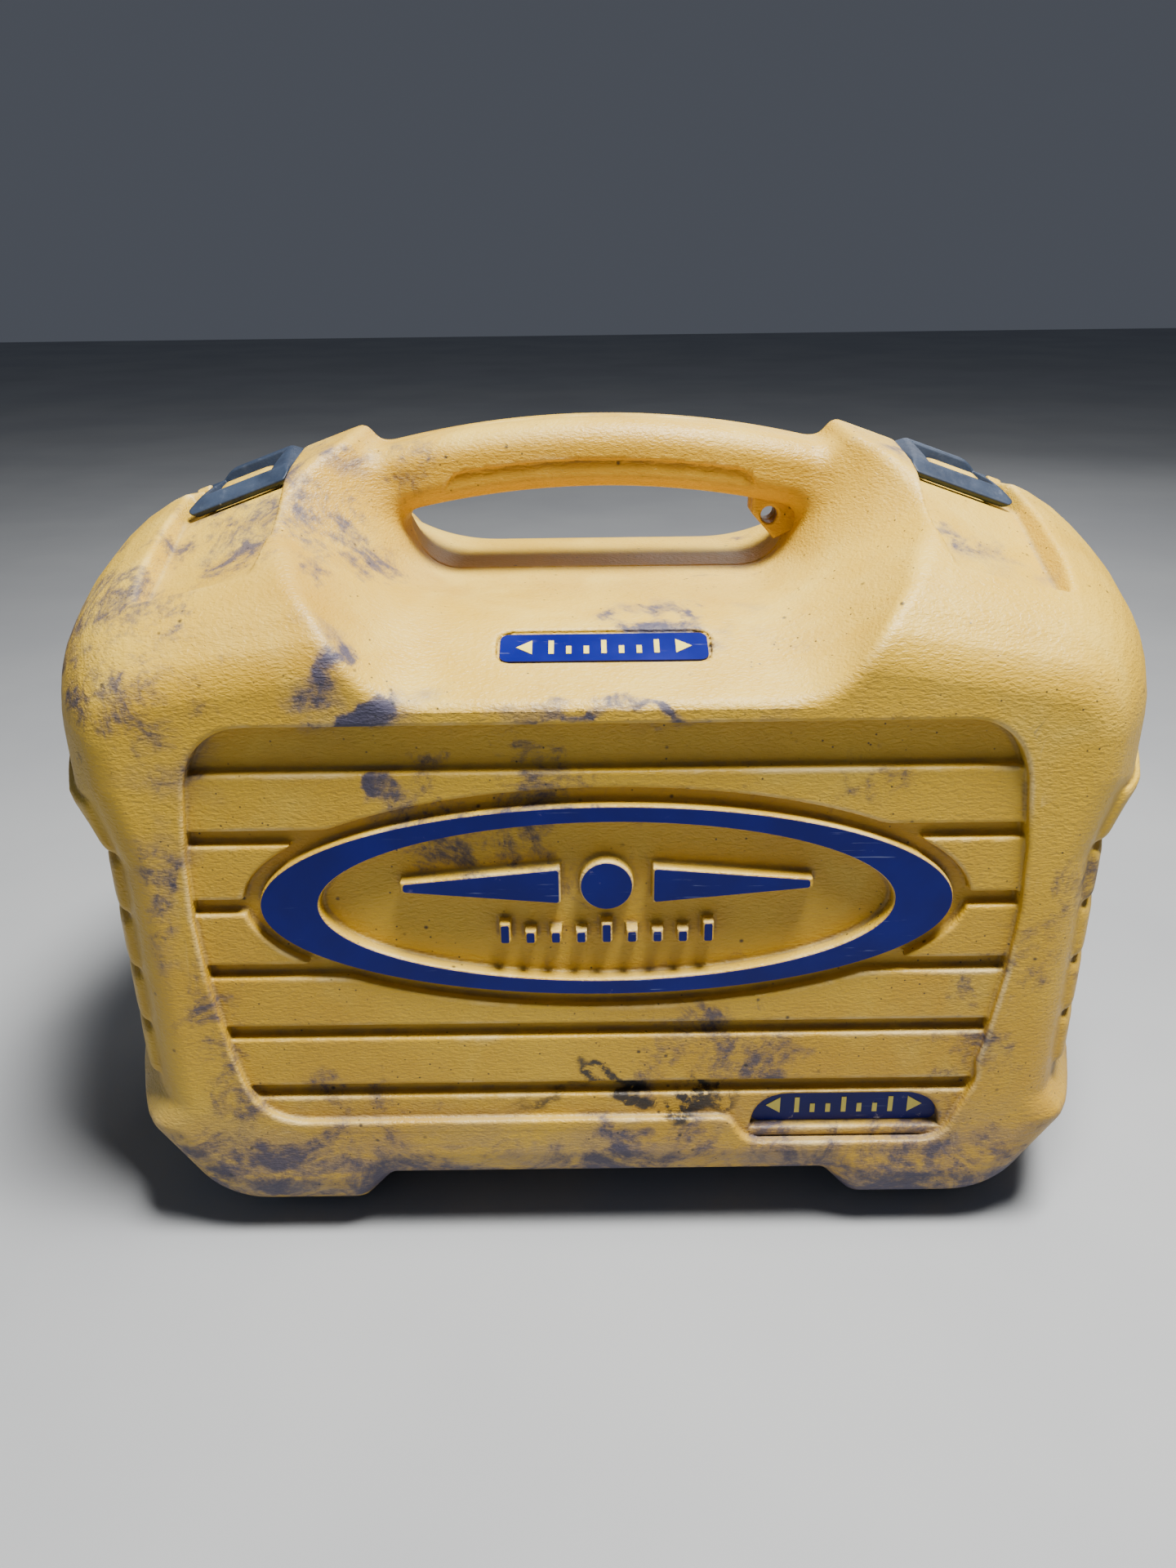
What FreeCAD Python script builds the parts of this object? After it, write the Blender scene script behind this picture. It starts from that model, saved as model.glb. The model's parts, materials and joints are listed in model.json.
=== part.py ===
"""Hard carrying case of a rotating laser level, with the instrument packed in its foam.

The case stands on its hinge side. X runs across it, Y from the lid to the base, Z up.
The parting plane is Y = 0: the lid shell lies at -Y and the base shell at +Y.
The origin is on the ground, under the middle of the case. Units are millimetres.
"""

import math
import os

import FreeCAD
import Part
from FreeCAD import Vector

# ---------------------------------------------------------------- driving dimensions
HALF_DEPTH = 109.0          # parting plane to the outer face of either shell
WALL = 5.0                  # thinnest stretch of the double wall
PART_GAP = 0.15             # each shell stops this far short of the parting plane
EDGE = 5.0                  # how far the outer face is drawn in at its rim

HALF_WIDTH = 213.0          # at the shoulders
WAIST_HALF = 201.0          # at the ribbed sides
CREST_X, CREST_Z = 88.0, 299.5      # horns beside the handle
LATCH_TILT = 19.5           # degrees that the top falls away from horn to corner
BELLY_LIFT = 14.0           # ground clearance between the feet
FOOT_IN = 98.0

FACE_HALF = 167.0           # outer face, at the ribbed sides

SCOOP_FLOOR = 243.0         # hand recess
SCOOP_FLAT = 60.0           # the floor is level out to here
SCOOP_FACE_Z = 223.0        # floor height where it reaches the outer face
SCOOP_FLOOR_HALF, SCOOP_FACE_HALF = 68.0, 66.0
SCOOP_LIP, SCOOP_LIP_FAR = 24.0, 110.0      # how far its walls lean out at the parting plane and beyond

GRIP_TOP, GRIP_TOP_END = 301.0, 290.0
GRIP_UNDER, GRIP_UNDER_END = 276.0, 264.0
GRIP_HALF_DEPTH = 17.0
GRIP_END_X = 88.0

EYE_X, EYE_Z, EYE_R = 65.4, 264.0, 3.25     # padlock eye
EYE_HALF = 8.0

HINGE_Z = 7.0
HINGE_X = 60.0
KNUCKLE_R = 6.0
KNUCKLE_W, KNUCKLE_GAP = 13.0, 0.3
PIN_R, PIN_PLAY = 2.5, 0.05
FOOT_NOTCH = 9.0            # lets the lid swing ten degrees past a right angle

LATCH_X, LATCH_Z = 134.0, 273.3     # middle of the flat that each latch lies on
LATCH_LEN, LATCH_HALF_DEPTH = 42.0, 23.0
LATCH_HIGH, LATCH_FRONT_HIGH, LATCH_LIFT = 11.0, 7.6, 0.8
WINDOW_HALF, LUG_HALF = 12.5, 11.0
BAR_DEPTH = 10.0
LATCH_PIN_Y, LATCH_PIN_UP, LATCH_PIN_R = 19.0, 4.2, 1.5
LATCH_KNUCKLE_R = 3.4
RECESS_LEN = 45.0
RECESS_FLAT, RECESS_REACH = 24.0, 80.0       # level under the latch, then a ramp out to here

PANEL_DEEP, RIB_RISE = 8.0, 4.5     # panel recess, and how far its ribs stand up in it
PANEL_TOP, PANEL_BOTTOM = 217.0, 56.0
PANEL_HALF_TOP, PANEL_HALF_MID, PANEL_HALF_END = 137.0, 145.0, 132.0
RIB_PITCH, RIB_HIGH, RIB_FIRST = 26.7, 21.0, 199.0
RIB_COUNT = 6
OVAL_Z, OVAL_A, OVAL_B = 149.0, 121.5, 37.8
OVAL_MOAT = 6.0
OVAL_BAND_SIDE, OVAL_BAND_TOP = 21.0, 6.5     # width of the oval's band at its ends and at its top
EMBLEM_RISE = 5.5
FILM = 0.3                  # printed film on the raised emblem
PLATE_W, PLATE_H, PLATE_T = 71.0, 14.2, 0.8
PLATE_X, PLATE_Z = 91.0, 56.5
TOP_PLATE_Y = 80.0

SIDE_RIBS = 5
RIB_SIDE_LOW, RIB_SIDE_TOP = 70.0, 188.0

CAVITY_DEPTH = HALF_DEPTH - PANEL_DEEP - WALL
FOAM_PLAY = 0.4

LASER_FOOT_X, LASER_Z = -157.0, 126.0       # the instrument lies on its side, its head towards +X
HOUSING, HOUSING_R, HOUSING_WALL = 118.0, 30.0, 4.0
HOUSING_LOW, HOUSING_TOP = 9.0, 124.0
LANTERN_R, LANTERN_WALL, LANTERN_TOP = 38.0, 3.0, 164.0
LASER_TOP = 212.0
KEY_R, KEY_PLAY = 6.5, 0.3
LAMPS, LAMP_Z = (-12, 0, 12), 95.5
KEYS = {"power": (0, 42), "up": (0, 84), "down": (0, 62), "speed": (-24, 73), "mode": (24, 73)}

RECEIVER_X, RECEIVER_Z = 128.0, 118.0
RECEIVER_W, RECEIVER_H, RECEIVER_T = 74.0, 150.0, 30.0
RECEIVER_Y = 3.0

OUT = "parts"


# ---------------------------------------------------------------- small helpers
def add(name, shape):
    """Writes one sub-part, and says how big it is."""
    shape.exportStep(os.path.join(OUT, name + ".step"))
    state = "ok" if shape.isValid() else "NOT VALID"
    print(f"{name:26s} {len(shape.Solids):3d} solid(s) {shape.Volume / 1000:9.2f} cm3  {state}")


def box(x0, x1, y0, y1, z0, z1):
    return Part.makeBox(x1 - x0, y1 - y0, z1 - z0, Vector(x0, y0, z0))


def rod(radius, start, end):
    """A round bar from one point to another."""
    start, end = Vector(*start), Vector(*end)
    return Part.makeCylinder(radius, (end - start).Length, start, end - start)


def fuse(shapes):
    shapes = list(shapes)
    whole = shapes[0].multiFuse(shapes[1:]) if len(shapes) > 1 else shapes[0]
    return whole.removeSplitter()


def group(shapes):
    """Separate solids that share one node."""
    return Part.makeCompound([solid for shape in shapes for solid in shape.Solids])


def mirror_x(shape):
    return shape.mirror(Vector(0, 0, 0), Vector(1, 0, 0))


def mirror_y(shape):
    return shape.mirror(Vector(0, 0, 0), Vector(0, 1, 0))


def rounded(points, y=0.0):
    """A closed outline in the XZ plane at depth y. Each point is (x, z, radius of its corner)."""
    corners = []
    count = len(points)
    for i, (x, z, radius) in enumerate(points):
        here = Vector(x, y, z)
        back = Vector(points[i - 1][0], y, points[i - 1][1]) - here
        on = Vector(points[(i + 1) % count][0], y, points[(i + 1) % count][1]) - here
        turn = math.pi - back.getAngle(on)
        reach = radius * math.tan(turn / 2)
        back.normalize()
        on.normalize()
        inward = back + on
        inward.normalize()
        middle = here + inward * (radius / math.cos(turn / 2) - radius)
        corners.append((here + back * reach, middle, here + on * reach))
    edges = []
    for i, (start, middle, end) in enumerate(corners):
        edges.append(Part.Arc(start, middle, end).toShape())
        edges.append(Part.LineSegment(end, corners[(i + 1) % count][0]).toShape())
    return Part.Wire(edges)


def both_sides(half):
    """Closes a half outline, listed from the bottom up at X > 0, with its mirror image."""
    return half + [(-x, z, r) for x, z, r in reversed(half)]


def prism(wire, depth):
    """A solid from a closed wire, pushed along Y by depth."""
    return Part.Face(wire).extrude(Vector(0, depth, 0))


def loft(sections, ruled=True):
    return Part.makeLoft(sections, True, ruled)


# ---------------------------------------------------------------- outlines of a shell
def outline(lift, foot, foot_r, bump, waist, shoulder, crest, inset=0.0):
    """One outline of a shell. lift is its height above the ground; foot, bump, waist and shoulder are
    half-widths from the ground up; shoulder ends at (half-width, height, corner radius)."""
    half, top, top_r = shoulder
    return both_sides([
        (FOOT_IN - 12, BELLY_LIFT + 0.9 * lift, 6), (FOOT_IN, lift, 8), (foot, lift, foot_r),
        (bump, 52.0, 5), (waist, 68.0, 8), (waist, 164.0, 10),
        (half, 186.0 + inset, 6), (half, top, top_r), (CREST_X, crest, 12),
    ])


def shell_sections():
    """The outlines of a shell from the parting plane out to its face, with the depth of each."""
    fall = (HALF_WIDTH - CREST_X) * math.tan(math.radians(LATCH_TILT))
    return [
        (PART_GAP, outline(-1.0, 168.0, 34, 206.0, WAIST_HALF, (HALF_WIDTH, CREST_Z - fall, 86), CREST_Z)),
        (30.0, outline(-1.0, 167.0, 35, 201.0, 195.0, (208.5, 252.0, 80), 292.0)),
        (60.0, outline(-1.0, 163.0, 36, 194.0, 186.0, (200.0, 250.0, 55), 273.0)),
        (88.0, outline(3.0, 156.0, 36, 184.0, 176.0, (189.0, 243.0, 42), 261.0)),
        (HALF_DEPTH - EDGE, outline(14.0, 152.0, 30, 177.0, FACE_HALF, (177.0, 233.0, 30), 249.0, 8.0)),
        (HALF_DEPTH, outline(23.0, 147.0, 24, 171.0, FACE_HALF - 5.0, (171.0, 226.0, 22), 240.0, 8.0)),
    ]


def cavity(play=0.0, mouth_past=1.0):
    """The room inside one shell, at -Y. play shrinks it all round; its mouth can run past the gap."""
    def section(half, low, corner, top, y):
        return rounded(both_sides([
            (corner - play, low + play, 12), (half - play, 66.0, 10), (half - play, top - play, 14)
        ]), y)

    room = loft([
        section(192.0, 19.0, 150.0, 232.0, -PART_GAP),
        section(158.0, 33.0, 132.0, 210.0, -CAVITY_DEPTH + play),
    ])
    if mouth_past:
        room = room.fuse(prism(section(192.0, 19.0, 150.0, 232.0, -PART_GAP), PART_GAP + mouth_past))
    return room


# ---------------------------------------------------------------- features of a shell
def scoop():
    """The hand recess in the top of a shell: level beside the grip, then falling to the face."""
    def section(y, floor, floor_half, lean):
        return rounded(both_sides([(floor_half, floor, 14), (floor_half + lean, 310.0, 2)]), y)

    fall = (SCOOP_FLOOR - SCOOP_FACE_Z) / (HALF_DEPTH - SCOOP_FLAT)
    past = HALF_DEPTH + 6.0
    return loft([
        section(1.0, SCOOP_FLOOR, SCOOP_FLOOR_HALF, SCOOP_LIP),
        section(-18.0, SCOOP_FLOOR, SCOOP_FLOOR_HALF, SCOOP_LIP + 8.0),
        section(-SCOOP_FLAT, SCOOP_FLOOR, SCOOP_FLOOR_HALF, SCOOP_LIP_FAR),
        section(-past, SCOOP_FLOOR - fall * (past - SCOOP_FLAT), SCOOP_FACE_HALF, SCOOP_LIP_FAR),
    ])


def grip():
    """Half of the handle: an arched bar between the horns, split on the parting plane."""
    def arch(end_z, mid_z):
        return Part.Arc(
            Vector(-GRIP_END_X, 0, end_z), Vector(0, 0, mid_z), Vector(GRIP_END_X, 0, end_z)
        ).toShape()

    top = arch(GRIP_TOP_END, GRIP_TOP)
    under = arch(GRIP_UNDER_END, GRIP_UNDER)
    right = Part.LineSegment(
        Vector(GRIP_END_X, 0, GRIP_TOP_END), Vector(GRIP_END_X, 0, GRIP_UNDER_END)
    ).toShape()
    left = Part.LineSegment(
        Vector(-GRIP_END_X, 0, GRIP_UNDER_END), Vector(-GRIP_END_X, 0, GRIP_TOP_END)
    ).toShape()
    wire = Part.Wire([top, right, under, left])
    bar = Part.Face(wire).extrude(Vector(0, -(GRIP_HALF_DEPTH - PART_GAP), 0))
    bar.translate(Vector(0, -PART_GAP, 0))
    long_edges = [
        e for e in bar.Edges
        if abs(e.BoundBox.YMin + GRIP_HALF_DEPTH) < 0.1 and e.BoundBox.YLength < 0.1 and e.Length > 100
    ]
    return bar.makeFillet(8.0, long_edges)


def padlock_web():
    """The web under the grip's right end that carries half of the padlock eye."""
    web = rounded([
        (58.7, 280.0, 1), (58.7, 262.0, 3), (66.0, 254.0, 3), (84.0, 262.0, 1), (84.0, 280.0, 1)
    ], -PART_GAP)
    return prism(web, -(EYE_HALF - PART_GAP))


def eye_hole():
    return rod(EYE_R, (EYE_X, -GRIP_HALF_DEPTH - 5, EYE_Z), (EYE_X, GRIP_HALF_DEPTH + 5, EYE_Z))


def latch_frame(shape):
    """Moves a shape from latch axes (X along the slope, Z out of it) to the right-hand latch flat."""
    placed = shape.copy()
    placed.rotate(Vector(0, 0, 0), Vector(0, 1, 0), LATCH_TILT)
    placed.translate(Vector(LATCH_X, 0, LATCH_Z))
    return placed


def latch_recess():
    """The flat that a latch lies on, cut into the shell's top, and its ramp down to the brow."""
    half = RECESS_LEN / 2
    near = box(-half, half, -RECESS_FLAT, 1, 0, 60)
    ramp = loft([
        Part.makePolygon([Vector(left, -y, floor), Vector(right, -y, floor), Vector(right, -y, 60),
                          Vector(left, -y, 60), Vector(left, -y, floor)])
        for y, floor, left, right in (
            (RECESS_FLAT, 0.0, -half, half),
            (60.0, -12.5, -half + 2, half + 5),
            (RECESS_REACH, -17.5, -half + 4, half + 8),
        )
    ])
    return latch_frame(near.fuse(ramp))


def panel_outline(grow=0.0, y=0.0):
    """The sunk panel on the outer face: gently bowed sides, with rounded corners."""
    top, low = PANEL_TOP + grow, PANEL_BOTTOM - grow
    half_top, half_mid, half_end = (
        PANEL_HALF_TOP + grow, PANEL_HALF_MID + grow, PANEL_HALF_END + grow,
    )
    middle = (top + low) / 2 + 15
    right = Part.Arc(
        Vector(half_end, y, low), Vector(half_mid, y, middle), Vector(half_top, y, top)
    ).toShape()
    left = Part.Arc(
        Vector(-half_top, y, top), Vector(-half_mid, y, middle), Vector(-half_end, y, low)
    ).toShape()
    upper = Part.LineSegment(Vector(half_top, y, top), Vector(-half_top, y, top)).toShape()
    lower = Part.LineSegment(Vector(-half_end, y, low), Vector(half_end, y, low)).toShape()
    return Part.Wire([right, upper, left, lower])


def oval(a, b, y):
    ring = Part.Ellipse(Vector(0, 0, 0), a, b).toShape()
    ring.rotate(Vector(0, 0, 0), Vector(1, 0, 0), 90)
    ring.translate(Vector(0, y, OVAL_Z))
    return Part.Wire([ring])


def plate_bay():
    """The corner of the panel that drops to make room for the lower name plate."""
    return rounded([
        (PLATE_X - 44, PANEL_BOTTOM + 6, 4), (PLATE_X - 38, 44.0, 8),
        (PLATE_X + 33, 44.0, 8), (PLATE_X + 41, PANEL_BOTTOM + 6, 4),
    ], -HALF_DEPTH - 1)


def ribs(front):
    """The raised bands inside the panel."""
    inside = Part.Face(panel_outline(-1.5, -HALF_DEPTH + PANEL_DEEP + 1))
    clip = inside.extrude(Vector(0, -(RIB_RISE + 1), 0))
    bands = []
    for i in range(RIB_COUNT):
        top = RIB_FIRST - i * RIB_PITCH
        low = max(top - RIB_HIGH, PANEL_BOTTOM + 1)
        bands.append(box(-200, 200, -HALF_DEPTH + PANEL_DEEP - RIB_RISE,
                         -HALF_DEPTH + PANEL_DEEP + 1, low, top))
    bands = fuse(bands).common(clip)
    if front:
        moat = prism(oval(OVAL_A + OVAL_MOAT, OVAL_B + OVAL_MOAT, -HALF_DEPTH - 1), PANEL_DEEP + 1)
        label = rounded(both_sides([
            (PLATE_W / 2 + 1.5, -PLATE_H / 2 - 1.5, 4), (PLATE_W / 2 + 1.5, PLATE_H / 2 + 1.5, 4)
        ]), -HALF_DEPTH - 1)
        label.translate(Vector(PLATE_X, 0, PLATE_Z))
        bands = bands.cut(moat).cut(prism(label, PANEL_DEEP + 1))
    return bands


def emblem(rise, inset):
    """The raised oval band, the beam mark inside it and a row of staff graduations."""
    y0 = -HALF_DEPTH + PANEL_DEEP - rise
    depth = rise + 1 if inset == 0 else FILM
    band = prism(oval(OVAL_A - inset, OVAL_B - inset, y0), depth).cut(
        prism(oval(OVAL_A - OVAL_BAND_SIDE + inset, OVAL_B - OVAL_BAND_TOP + inset, y0 - 1), depth + 2)
    )
    pieces = [band]
    for mark in beam_mark(inset):
        pieces.append(prism(rounded(mark, y0), depth))
    hub_r = 9.5 - inset
    pieces.append(rod(hub_r, (0, y0, OVAL_Z + 7), (0, y0 + depth, OVAL_Z + 7)))
    return pieces


def beam_mark(inset):
    """Outlines of the level beam's two arms, and of nine graduations under them."""
    z = OVAL_Z + 7
    marks = []
    for side in (1, -1):
        arm = [(side * (16 + inset), z - 7 + inset, 1), (side * (72 - 2 * inset), z - 2 + inset, 1),
               (side * (72 - 2 * inset), z + 2 - inset, 1), (side * (16 + inset), z + 7 - inset, 1)]
        marks.append(arm if side > 0 else arm[::-1])
    for i in range(9):
        x = (i - 4) * 9.0
        tall = 8.0 if i % 4 == 0 else 5.0
        low = OVAL_Z - 16
        marks.append([(x - 2 + inset, low + inset, 0.6), (x + 2 - inset, low + inset, 0.6),
                      (x + 2 - inset, low + tall - inset, 0.6), (x - 2 + inset, low + tall - inset, 0.6)])
    return marks


def side_ribs():
    """Cushion ribs that stand out of the waist on both sides of a shell."""
    pitch = (RIB_SIDE_TOP - RIB_SIDE_LOW) / SIDE_RIBS
    proud = [(WAIST_HALF + 3.0, 5.0), (WAIST_HALF - 2.5, 30.0), (188.5, 62.0), (177.5, 88.0), (170.0, 100.0)]
    outer = [Vector(x, -y, 0) for x, y in proud]
    inner = [Vector(x - 12, -y, 0) for x, y in reversed(proud)]
    plan = Part.Face(Part.makePolygon([*outer, *inner, outer[0]]))
    shapes = []
    for i in range(SIDE_RIBS):
        rib = plan.extrude(Vector(0, 0, pitch - 3.0))
        rib.translate(Vector(0, 0, RIB_SIDE_LOW + i * pitch + 1.5))
        shapes.append(rib)
    return shapes + [mirror_x(s) for s in shapes]


def knuckle(start, width, side):
    """One hinge knuckle and its web. side is -1 on the lid and 1 on the base."""
    barrel = rod(KNUCKLE_R, (start, 0, HINGE_Z), (start + width, 0, HINGE_Z))
    y0, y1 = sorted((side * PART_GAP, side * KNUCKLE_R))
    web = box(start, start + width, y0, y1, HINGE_Z, BELLY_LIFT + 4)
    return barrel.fuse(web)


def knuckle_starts(side):
    """Where the knuckles of one hinge begin: two on the base, and one between them on the lid."""
    step = KNUCKLE_W + KNUCKLE_GAP
    first = HINGE_X - KNUCKLE_W / 2 - step
    return [first + step] if side < 0 else [first, first + 2 * step]


def hinge_bore(play):
    reach = 1.5 * KNUCKLE_W + KNUCKLE_GAP + 2
    bore = rod(PIN_R + play, (HINGE_X - reach, 0, HINGE_Z), (HINGE_X + reach, 0, HINGE_Z))
    return bore.fuse(mirror_x(bore))


def foot_notch():
    """Relieves the feet beside the parting plane, so that they clear each other as the lid opens."""
    return box(-250, 250, -FOOT_NOTCH, FOOT_NOTCH, -5, HINGE_Z + KNUCKLE_GAP)


# ---------------------------------------------------------------- the two shells
def shell_blank():
    """The outside of a shell at -Y, with its hand recess, handle half, latch flats and cavity."""
    body = loft([rounded(points, -y) for y, points in shell_sections()])
    body = body.cut(scoop())
    recess = latch_recess()
    body = body.cut(recess).cut(mirror_x(recess))
    body = fuse([body, grip(), padlock_web(), *side_ribs()])
    below_ground = box(-250, 250, -HALF_DEPTH - 1, 1, -5, 0)
    return body.cut(eye_hole()).cut(cavity()).cut(below_ground)


def finish_shell(body, side):
    """Cuts the foot notch, then adds the hinge knuckles of this side, bored for the pins."""
    body = body.cut(foot_notch())
    knuckles = []
    for start in knuckle_starts(side):
        one = knuckle(start, KNUCKLE_W, side)
        knuckles += [one, mirror_x(one)]
    for start in knuckle_starts(-side):
        room = rod(KNUCKLE_R + 0.5, (start - 0.3, 0, HINGE_Z), (start + KNUCKLE_W + 0.3, 0, HINGE_Z))
        body = body.cut(room.fuse(mirror_x(room)))
    return fuse([body, *knuckles]).cut(hinge_bore(PIN_PLAY if side < 0 else 0.0))


def face_panel(body, front):
    """Sinks the panel into the outer face and leaves its raised ribs standing."""
    sink = Part.Face(panel_outline(0.0, -HALF_DEPTH - 1)).extrude(Vector(0, PANEL_DEEP + 1, 0))
    if front:
        sink = sink.fuse(prism(plate_bay(), PANEL_DEEP + 1))
    return body.cut(sink).fuse(ribs(front))


def plate(width, height, thick, radius=2.0):
    """A flat rounded plate lying in the XZ plane, its back on Y = 0 and its face towards -Y."""
    half_w, half_h = width / 2, height / 2
    return prism(rounded(both_sides([(half_w, -half_h, radius), (half_w, half_h, radius)])), -thick)


def on_lower_bay(shape):
    """Moves a plate to the bay at the foot of the panel."""
    placed = shape.copy()
    placed.translate(Vector(PLATE_X, -(HALF_DEPTH - PANEL_DEEP), PLATE_Z))
    return placed


def on_scoop_slope(shape, sink):
    """Moves a plate to the sloping floor of the hand recess, sink below it, facing out."""
    placed = shape.copy()
    fall = math.degrees(math.atan2(SCOOP_FLOOR - SCOOP_FACE_Z, HALF_DEPTH - SCOOP_FLAT))
    placed.rotate(Vector(0, 0, 0), Vector(1, 0, 0), fall - 90)
    height = SCOOP_FLOOR - (TOP_PLATE_Y - SCOOP_FLAT) * math.tan(math.radians(fall))
    normal = Vector(0, -math.sin(math.radians(fall)), math.cos(math.radians(fall)))
    placed.translate(Vector(0, -TOP_PLATE_Y, height) - normal * sink)
    return placed


def plate_marks():
    """Generic decoration on a plate: a row of graduations between two arrowheads."""
    marks = [box(x - 0.9, x + 0.9, -0.2, 0, -3.5, 3.5 if i % 3 == 0 else 0.5)
             for i, x in enumerate(range(-18, 19, 6))]
    for side in (1, -1):
        tip, back = side * 30.0, side * 24.5
        arrow = Part.makePolygon([Vector(tip, 0, 0), Vector(back, 0, 3.6), Vector(back, 0, -3.6),
                                  Vector(tip, 0, 0)])
        marks.append(Part.Face(arrow).extrude(Vector(0, -0.2, 0)))
    return marks


def latch_lug():
    """The rounded ridge that fills the latch's window. It is moulded on the base."""
    lug = box(-LUG_HALF, LUG_HALF, -6.0, 9.0, 0.4, 7.0)
    lug = lug.makeFillet(2.5, [e for e in lug.Edges if e.BoundBox.ZMin > 6.9])
    root = box(-LUG_HALF, LUG_HALF, 0.6, 9.0, -3.0, 0.5)
    return latch_frame(lug.fuse(root))


def lid_shell():
    body = face_panel(shell_blank(), front=True)
    body = body.cut(on_scoop_slope(plate(PLATE_W + 4, PLATE_H + 4, 6), 1.5))
    body = fuse([body, *emblem(EMBLEM_RISE, 0.0)])
    return finish_shell(body, side=-1)


def base_shell():
    body = mirror_y(face_panel(shell_blank(), front=False))
    extras = [latch_lug(), *latch_ears()]
    body = fuse([body, *extras, *[mirror_x(piece) for piece in extras]])
    bore = latch_pin_solid(0.0)
    body = body.cut(bore).cut(mirror_x(bore))
    return finish_shell(body, side=1)


# ---------------------------------------------------------------- hardware of the case
def latch_ears():
    """The two bosses on the base that hold the ends of a latch pin."""
    half = RECESS_LEN / 2
    ears = []
    for side in (-1, 1):
        ears.append(rod(3.6, (side * (half - 0.9), LATCH_PIN_Y, LATCH_PIN_UP),
                        (side * (half + 5), LATCH_PIN_Y, LATCH_PIN_UP)))
        x0, x1 = sorted((side * (half - 0.9), side * (half + 5)))
        ears.append(box(x0, x1, LATCH_PIN_Y - 3.6, LATCH_PIN_Y + 3.6, -6, LATCH_PIN_UP))
    return [latch_frame(ear) for ear in ears]


def latch_pin_solid(play):
    reach = RECESS_LEN / 2 + 4
    return latch_frame(rod(LATCH_PIN_R + play, (-reach, LATCH_PIN_Y, LATCH_PIN_UP),
                           (reach, LATCH_PIN_Y, LATCH_PIN_UP)))


def latch():
    """A flip latch: a frame with a window, knuckled on its rear bar, with a low sloping bar in front."""
    half = LATCH_LEN / 2
    low, high, edge = LATCH_LIFT, LATCH_HIGH, LATCH_HALF_DEPTH
    rear = LATCH_PIN_Y + LATCH_KNUCKLE_R
    bar_top = LATCH_FRONT_HIGH
    side = Part.makePolygon([Vector(-half, y, z) for y, z in (
        (-edge + 1.5, low), (-edge, low + 2), (-edge + 7, bar_top - 0.6), (-edge + BAR_DEPTH, bar_top),
        (edge - BAR_DEPTH, high - 0.5), (rear - 3, high), (rear, high - 3), (rear, LATCH_PIN_UP),
        (LATCH_PIN_Y, LATCH_PIN_UP), (LATCH_PIN_Y, low), (-edge + 1.5, low),
    )])
    frame = Part.Face(side).extrude(Vector(LATCH_LEN, 0, 0))
    knuckle_bar = rod(LATCH_KNUCKLE_R, (-half, LATCH_PIN_Y, LATCH_PIN_UP), (half, LATCH_PIN_Y, LATCH_PIN_UP))
    frame = fuse([frame, knuckle_bar])
    window = box(-WINDOW_HALF, WINDOW_HALF, -edge + BAR_DEPTH, edge - BAR_DEPTH, -5, high + 5)
    frame = frame.cut(window)
    for end, run, start in ((-1, 5.0, 6.0), (1, 12.0, 4.0)):
        wedge = Part.makePolygon([
            Vector(end * half, -50, start), Vector(end * (half - run), -50, high + 0.01),
            Vector(end * (half + 5), -50, high + 0.01), Vector(end * half, -50, start),
        ])
        frame = frame.cut(Part.Face(wedge).extrude(Vector(0, 100, 0)))
    return latch_frame(frame).cut(latch_pin_solid(PIN_PLAY))


def hinge_pin():
    reach = 1.5 * KNUCKLE_W + KNUCKLE_GAP
    return rod(PIN_R, (HINGE_X - reach, 0, HINGE_Z), (HINGE_X + reach, 0, HINGE_Z))


# ---------------------------------------------------------------- the instrument
def lay_down(shape):
    """Turns a piece from the instrument's own axes, Z up and keypad towards -Y, into the case."""
    placed = shape.copy()
    placed.rotate(Vector(0, 0, 0), Vector(0, 1, 0), 90)
    placed.translate(Vector(LASER_FOOT_X, 0, LASER_Z))
    return placed


def square_bar(width, radius, low, top):
    """An upright bar of rounded square section."""
    half = width / 2
    bar = box(-half, half, -half, half, low, top)
    return bar.makeFillet(radius, [e for e in bar.Edges if e.BoundBox.ZLength > top - low - 0.1])


def tube(outer, inner, low, top):
    return rod(outer, (0, 0, low), (0, 0, top)).cut(rod(inner, (0, 0, low - 1), (0, 0, top + 1)))


def laser_housing():
    outside = square_bar(HOUSING, HOUSING_R, HOUSING_LOW, HOUSING_TOP)
    rim = [e for e in outside.Edges if e.BoundBox.ZMin > HOUSING_TOP - 0.1]
    outside = outside.makeFillet(9.0, rim)
    inside = square_bar(HOUSING - 2 * HOUSING_WALL, HOUSING_R - HOUSING_WALL,
                        HOUSING_LOW - 1, HOUSING_TOP - HOUSING_WALL)
    body = outside.cut(inside).cut(rod(30.0, (0, 0, HOUSING_TOP - 10), (0, 0, HOUSING_TOP + 5)))
    front = box(-36, 36, -HOUSING, -HOUSING / 2 + 2, 28, 102)
    body = body.cut(front).cut(box(-36 + 4, 36 - 4, -HOUSING, -HOUSING / 2 + 10, 32, 98))
    bay = box(-33, 33, HOUSING / 2 - 2, HOUSING, 22, 100)
    return body.cut(bay).cut(box(-30, 30, HOUSING / 2 - 10, HOUSING, 25, 97))


def laser_base_plate():
    disc = square_bar(HOUSING - 4, HOUSING_R - 2, 0, HOUSING_LOW)
    return disc.cut(rod(14.0, (0, 0, -1), (0, 0, HOUSING_LOW + 1)))


def tripod_bush():
    return fuse([tube(14.0, 6.9, 0, HOUSING_LOW + 7), tube(19.0, 6.9, HOUSING_LOW, HOUSING_LOW + 3)])


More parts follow.
